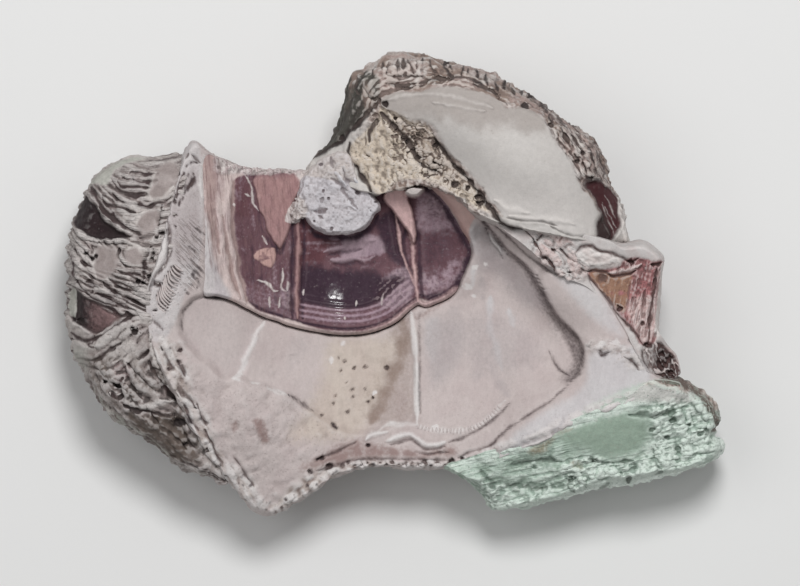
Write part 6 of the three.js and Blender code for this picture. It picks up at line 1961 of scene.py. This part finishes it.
# each growth's material, as growth_material takes it
MATERIALS = {
    "opened_shell": dict(
        name="shell_wall", colour=(0.512, 0.448, 0.436),
        patches=[
            ("whitish", (0.555, 0.535, 0.54), 0.5), ("tan", (0.525, 0.455, 0.405), 0.6),
            ("shade", (0.41, 0.365, 0.365), 0.5), ("stain", (0.25, 0.185, 0.155), 0.45, 0.5),
            # the flesh colour is made lighter as painted light against the arch's shadow
            ("rose", (0.3, 0.218, 0.205), 0.9), ("flesh_and_painted_light", (0.57, 0.4, 0.37), 0.5),
            ("grime", (0.36, 0.3, 0.275), 0.8), ("greenish", (0.46, 0.53, 0.47), 0.8),
            ("chalky", CHALK_WHITE, 0.7), ("dark", DARK, 0.5),
        ],
        tint=(0.46, 0.385, 0.38), dirt_and_shade=(0.16, 0.115, 0.105), crest=CHALK_WHITE, size=6.0, cloud=0.22,
        speckle=0.2, wear=0.35, grain=(0.05, 0.22), tinting=0.45, lie=(1.3, 0.7, 1.0), even=0.15,
        strokes=[("scratched", -45, 2.6, 0.3, (0.3, 0.25, 0.24), 0.55, 0.12)],
    ),
    "mouth_lining": dict(
        name="shell_lining", colour=(0.138, 0.074, 0.087),
        patches=[
            ("red", (0.12, 0.052, 0.06), 0.6), ("mauve", (0.33, 0.245, 0.28), 1.0),
            ("dark", (0.047, 0.027, 0.04), 0.6), ("fine_lines", (0.33, 0.235, 0.28), 0.5),
            ("pink", (0.34, 0.205, 0.2), 0.35), ("pale", (0.57, 0.475, 0.455), 0.4),
            # the flesh colour is made lighter as painted light against the shadow of the arch and the chalk
            # lump
            ("brown", (0.36, 0.265, 0.25), 0.6), ("flesh_and_painted_light", (0.62, 0.43, 0.42), 0.5),
            ("orange", (0.48, 0.31, 0.28), 0.5), ("whitish", (0.505, 0.475, 0.475), 0.3, 0.5),
            ("white", (0.6, 0.55, 0.53), 0.8),
        ],
        tint=(0.11, 0.055, 0.07), dirt_and_shade=(0.06, 0.03, 0.035), crest=(0.4, 0.31, 0.32), roughness=(0.6, 0.8),
        polish="polish", grain=(0.008, 0.09), tinting=0.35, cloud=0.6, speckle=0.4, dirt_and_shade_amount=0.5, wear=0.5,
        size=2.6, lie=(1.35, 0.6, 1.0), even=0.12,
        strokes=[("streaked", 96, 3.2, 0.35, (0.17, 0.1, 0.1), 0.5, 0.02)],
    ),
    "ribbed_shell": dict(
        name="ribbed_wall", colour=(0.325, 0.278, 0.268),
        patches=[
            ("pale", (0.54, 0.5, 0.48), 0.7), ("furrow", (0.066, 0.04, 0.041), 0.7),
            ("purple", (0.021, 0.011, 0.013), 0.5), ("gloomy", (0.128, 0.1, 0.085), 0.8),
            ("crescent", (0.45, 0.445, 0.405), 0.6), ("pink", (0.25, 0.16, 0.16), 0.7, 0.5),
            ("dark", (0.045, 0.034, 0.034), 0.6),
        ],
        tint=(0.24, 0.2, 0.19), dirt_and_shade=(0.05, 0.04, 0.038), crest=(0.58, 0.55, 0.54), tinting=0.6, cloud=0.5,
        speckle=0.5, dirt_and_shade_amount=0.8, wear=0.5, size=3.0,
        strokes=[("ribbed", -8, 1.8, 0.3, (0.13, 0.1, 0.1), 0.4, 0.1)],
    ),
    "basal_shell": dict(
        name="basal_disc", colour=(0.52, 0.495, 0.475),
        patches=[
            ("shade", (0.37, 0.335, 0.315), 0.3), ("cream", (0.585, 0.5, 0.41), 0.6),
            ("mauve", (0.365, 0.275, 0.25), 0.7), ("greyed", (0.066, 0.062, 0.053), 0.7),
            ("brown", (0.27, 0.2, 0.17), 0.7), ("purple", (0.06, 0.017, 0.02), 0.4),
            ("pale", (0.6, 0.565, 0.545), 0.5), ("dark", (0.036, 0.026, 0.025), 0.5),
        ],
        tint=(0.49, 0.46, 0.44), dirt_and_shade=(0.13, 0.1, 0.088), crest=(0.63, 0.58, 0.54), cloud=0.2, speckle=0.22,
        size=6.0, dirt_and_shade_amount=0.7, wear=0.5, grain=(0.04, 0.22), even=0.12,
        strokes=[("streaked", -52, 1.8, 0.35, (0.1, 0.07, 0.068), 0.75, 0.2)],
    ),
    "broken_wall": dict(
        name="pink_wall", colour=(0.55, 0.52, 0.51),
        patches=[
            ("inside", (0.375, 0.16, 0.165), 0.5), ("brown", (0.32, 0.185, 0.125), 0.6),
            ("pale", (0.63, 0.5, 0.48), 0.6), ("white", (0.66, 0.62, 0.6), 0.6),
            ("dark", (0.07, 0.045, 0.043), 0.5),
        ],
        tint=(0.47, 0.37, 0.355), dirt_and_shade=(0.14, 0.085, 0.08), crest=CHALK_WHITE, cloud=0.35, speckle=0.35,
        size=2.6, dirt_and_shade_amount=0.6, wear=0.3,
        strokes=[("streaked", 76, 2.4, 0.45, (0.22, 0.11, 0.11), 0.5, 0.12)],
    ),
    "layered_crust": dict(
        name="green_crust", colour=(0.455, 0.545, 0.48),
        patches=[
            ("deep", (0.315, 0.405, 0.33), 0.5), ("pale", (0.635, 0.71, 0.65), 0.9),
            # a near-white colour as painted light on the crust's shaded lower edge
            ("painted_light_edge", (0.85, 0.93, 0.87), 0.8), ("wall_pale", (0.54, 0.535, 0.51), 0.4, 0.48),
            ("rose", (0.55, 0.46, 0.42), 0.5), ("rusty", (0.29, 0.26, 0.19), 0.9, 0.5),
            ("brown", (0.125, 0.085, 0.07), 1.2), ("dark", (0.1, 0.12, 0.1), 0.6),
        ],
        tint=(0.52, 0.63, 0.55), dirt_and_shade=(0.17, 0.23, 0.19), crest=(0.66, 0.75, 0.685), cloud=0.4, speckle=0.35,
        size=3.0, dirt_and_shade_amount=0.5, wear=0.45,
        strokes=[("layered", 12, 2.2, 0.35, (0.25, 0.35, 0.28), 0.2, 0.06)],
    ),
    "chalk_boulder": dict(
        name="chalk", colour=(0.53, 0.5, 0.52),
        patches=[
            ("creamy", (0.53, 0.475, 0.455), 0.6), ("pale", (0.64, 0.63, 0.66), 0.4),
            ("dark", (0.16, 0.13, 0.14), 0.5),
        ],
        tint=(0.46, 0.45, 0.48), dirt_and_shade=(0.2, 0.17, 0.17), crest=(0.66, 0.65, 0.68), cloud=0.25, speckle=0.3,
        size=3.0, dirt_and_shade_amount=0.6, wear=0.3,
    ),
}


# ---------------------------------------------------------------- the cluster

SURVEYED_AT = 22.0  # height of the plane in which one survey millimetre is one millimetre
# the camera's lens and sensor, and the width it sees in that plane
LENS, SENSOR, VIEW_WIDTH = 300.0, 36.0, 144.0
LIT_PLACE = (0, 0, 0.02)  # what the lights are turned towards, in metres


def place_growth(growth, node):
    """Makes a growth's piece, with its own material and with its crevices and crests as one more mask."""
    growth.masks["hollow"] = hollowness(growth.points, growth.faces)
    material = growth_material(**MATERIALS[growth.name])
    return make_piece(growth.name, growth.points, growth.faces, growth.masks, material, node)


def lay_ridges(name, ridges, half_width, height, growth, material):
    """Lays low ridges on a growth along paths of (x, y), moved a little by noise, as one piece of its
    material."""
    ridges = np.array(ridges)
    moved = noise(np.insert(ridges.reshape(-1, 2), 2, 0, 1), 1.1, 311).reshape(ridges.shape[:2])
    across = ridges + 0.16 * moved[..., None]
    ground = ground_under(growth, *ridges.reshape(-1, 2).T).reshape(*ridges.shape[:2], 1)
    points, faces = ridge_mesh(np.concatenate((across, ground + 0.03), 2), half_width, height)
    none = np.zeros(len(points))
    masks = {"chalky": none + 0.3, "hollow": none, "rough": none + 0.3}
    make_piece(name, points, faces, masks, material)


for build, node, slot in (
    (build_main_shell, "main_shell", "shell_wall"),
    (build_lining, None, "shell_wall"),
    (build_left_shell, "left_shell", "ribbed_wall"),
    (build_upper_shell, "upper_shell", "basal_disc"),
    (build_right_shell, "right_shell", "pink_wall"),
    (build_green_crust, "green_crust", "green_crust"),
    (build_chalk_lump, "chalk_lump", "chalk"),
):
    growth = build()
    piece = place_growth(growth, node)
    if growth.name == "opened_shell":
        opened_shell, shell_material = growth, piece.data.materials[0]

lay_ridges(
    "comb_ridges", COMB_RIDGES, half_width=0.22, height=0.26, growth=opened_shell, material=shell_material,
)
lay_ridges(
    "scallop_teeth", SCALLOP_TEETH, half_width=0.17, height=0.2, growth=opened_shell, material=shell_material,
)


# ---------------------------------------------------------------- floor, light and camera


def add_floor(half, colour):
    """A square pale floor of the given half side, in metres, with its middle under the cluster."""
    mesh = bpy.data.meshes.new("floor")
    corners = [(-half, -half, 0), (half, -half, 0), (half, half, 0), (-half, half, 0)]
    mesh.from_pydata(corners, [], [(0, 1, 2, 3)])
    floor = bpy.data.objects.new("floor", mesh)
    bpy.context.scene.collection.objects.link(floor)
    paper = bpy.data.materials.new("studio_paper")
    paper.use_nodes = True
    shader = paper.node_tree.nodes["Principled BSDF"]
    shader.inputs["Base Color"].default_value = rgba(colour)
    shader.inputs["Roughness"].default_value = 0.9
    mesh.materials.append(paper)


def add_area_light(name, place, size, watts):
    """A round soft light at a place in metres, turned towards the cluster's middle."""
    data = bpy.data.lights.new(name, "AREA")
    data.shape, data.size, data.energy = "DISK", size, watts
    light = bpy.data.objects.new(name, data)
    light.location = place
    light.rotation_euler = (Vector(LIT_PLACE) - Vector(place)).to_track_quat("-Z", "Y").to_euler()
    bpy.context.scene.collection.objects.link(light)


def add_world(colour, strength):
    """An even light from all round."""
    world = bpy.data.worlds.new("studio")
    world.use_nodes = True
    background = world.node_tree.nodes["Background"]
    background.inputs["Color"].default_value = rgba(colour)
    background.inputs["Strength"].default_value = strength
    bpy.context.scene.world = world


def add_camera():
    """A long lens straight above the survey's zero, as far off as makes the survey's plane fill its width."""
    data = bpy.data.cameras.new("camera")
    data.lens, data.sensor_width, data.sensor_fit = LENS, SENSOR, "HORIZONTAL"
    data.clip_start, data.clip_end = 0.01, 10
    camera = bpy.data.objects.new("camera", data)
    camera.location = (
        SURVEY_SHIFT[0] * MM, SURVEY_SHIFT[1] * MM, (SURVEYED_AT + VIEW_WIDTH * LENS / SENSOR) * MM,
    )
    bpy.context.scene.collection.objects.link(camera)
    bpy.context.scene.camera = camera


add_floor(half=2.0, colour=(0.74, 0.74, 0.735))
add_area_light("window", place=(0.07, 0.30, 0.71), size=0.22, watts=3.9)
add_area_light("lamp", place=(-0.35, 0.1, 0.7), size=0.5, watts=1.0)
add_world(colour=(1.0, 1.0, 1.0), strength=0.3)
add_camera()
bpy.context.scene.view_settings.view_transform = "Standard"
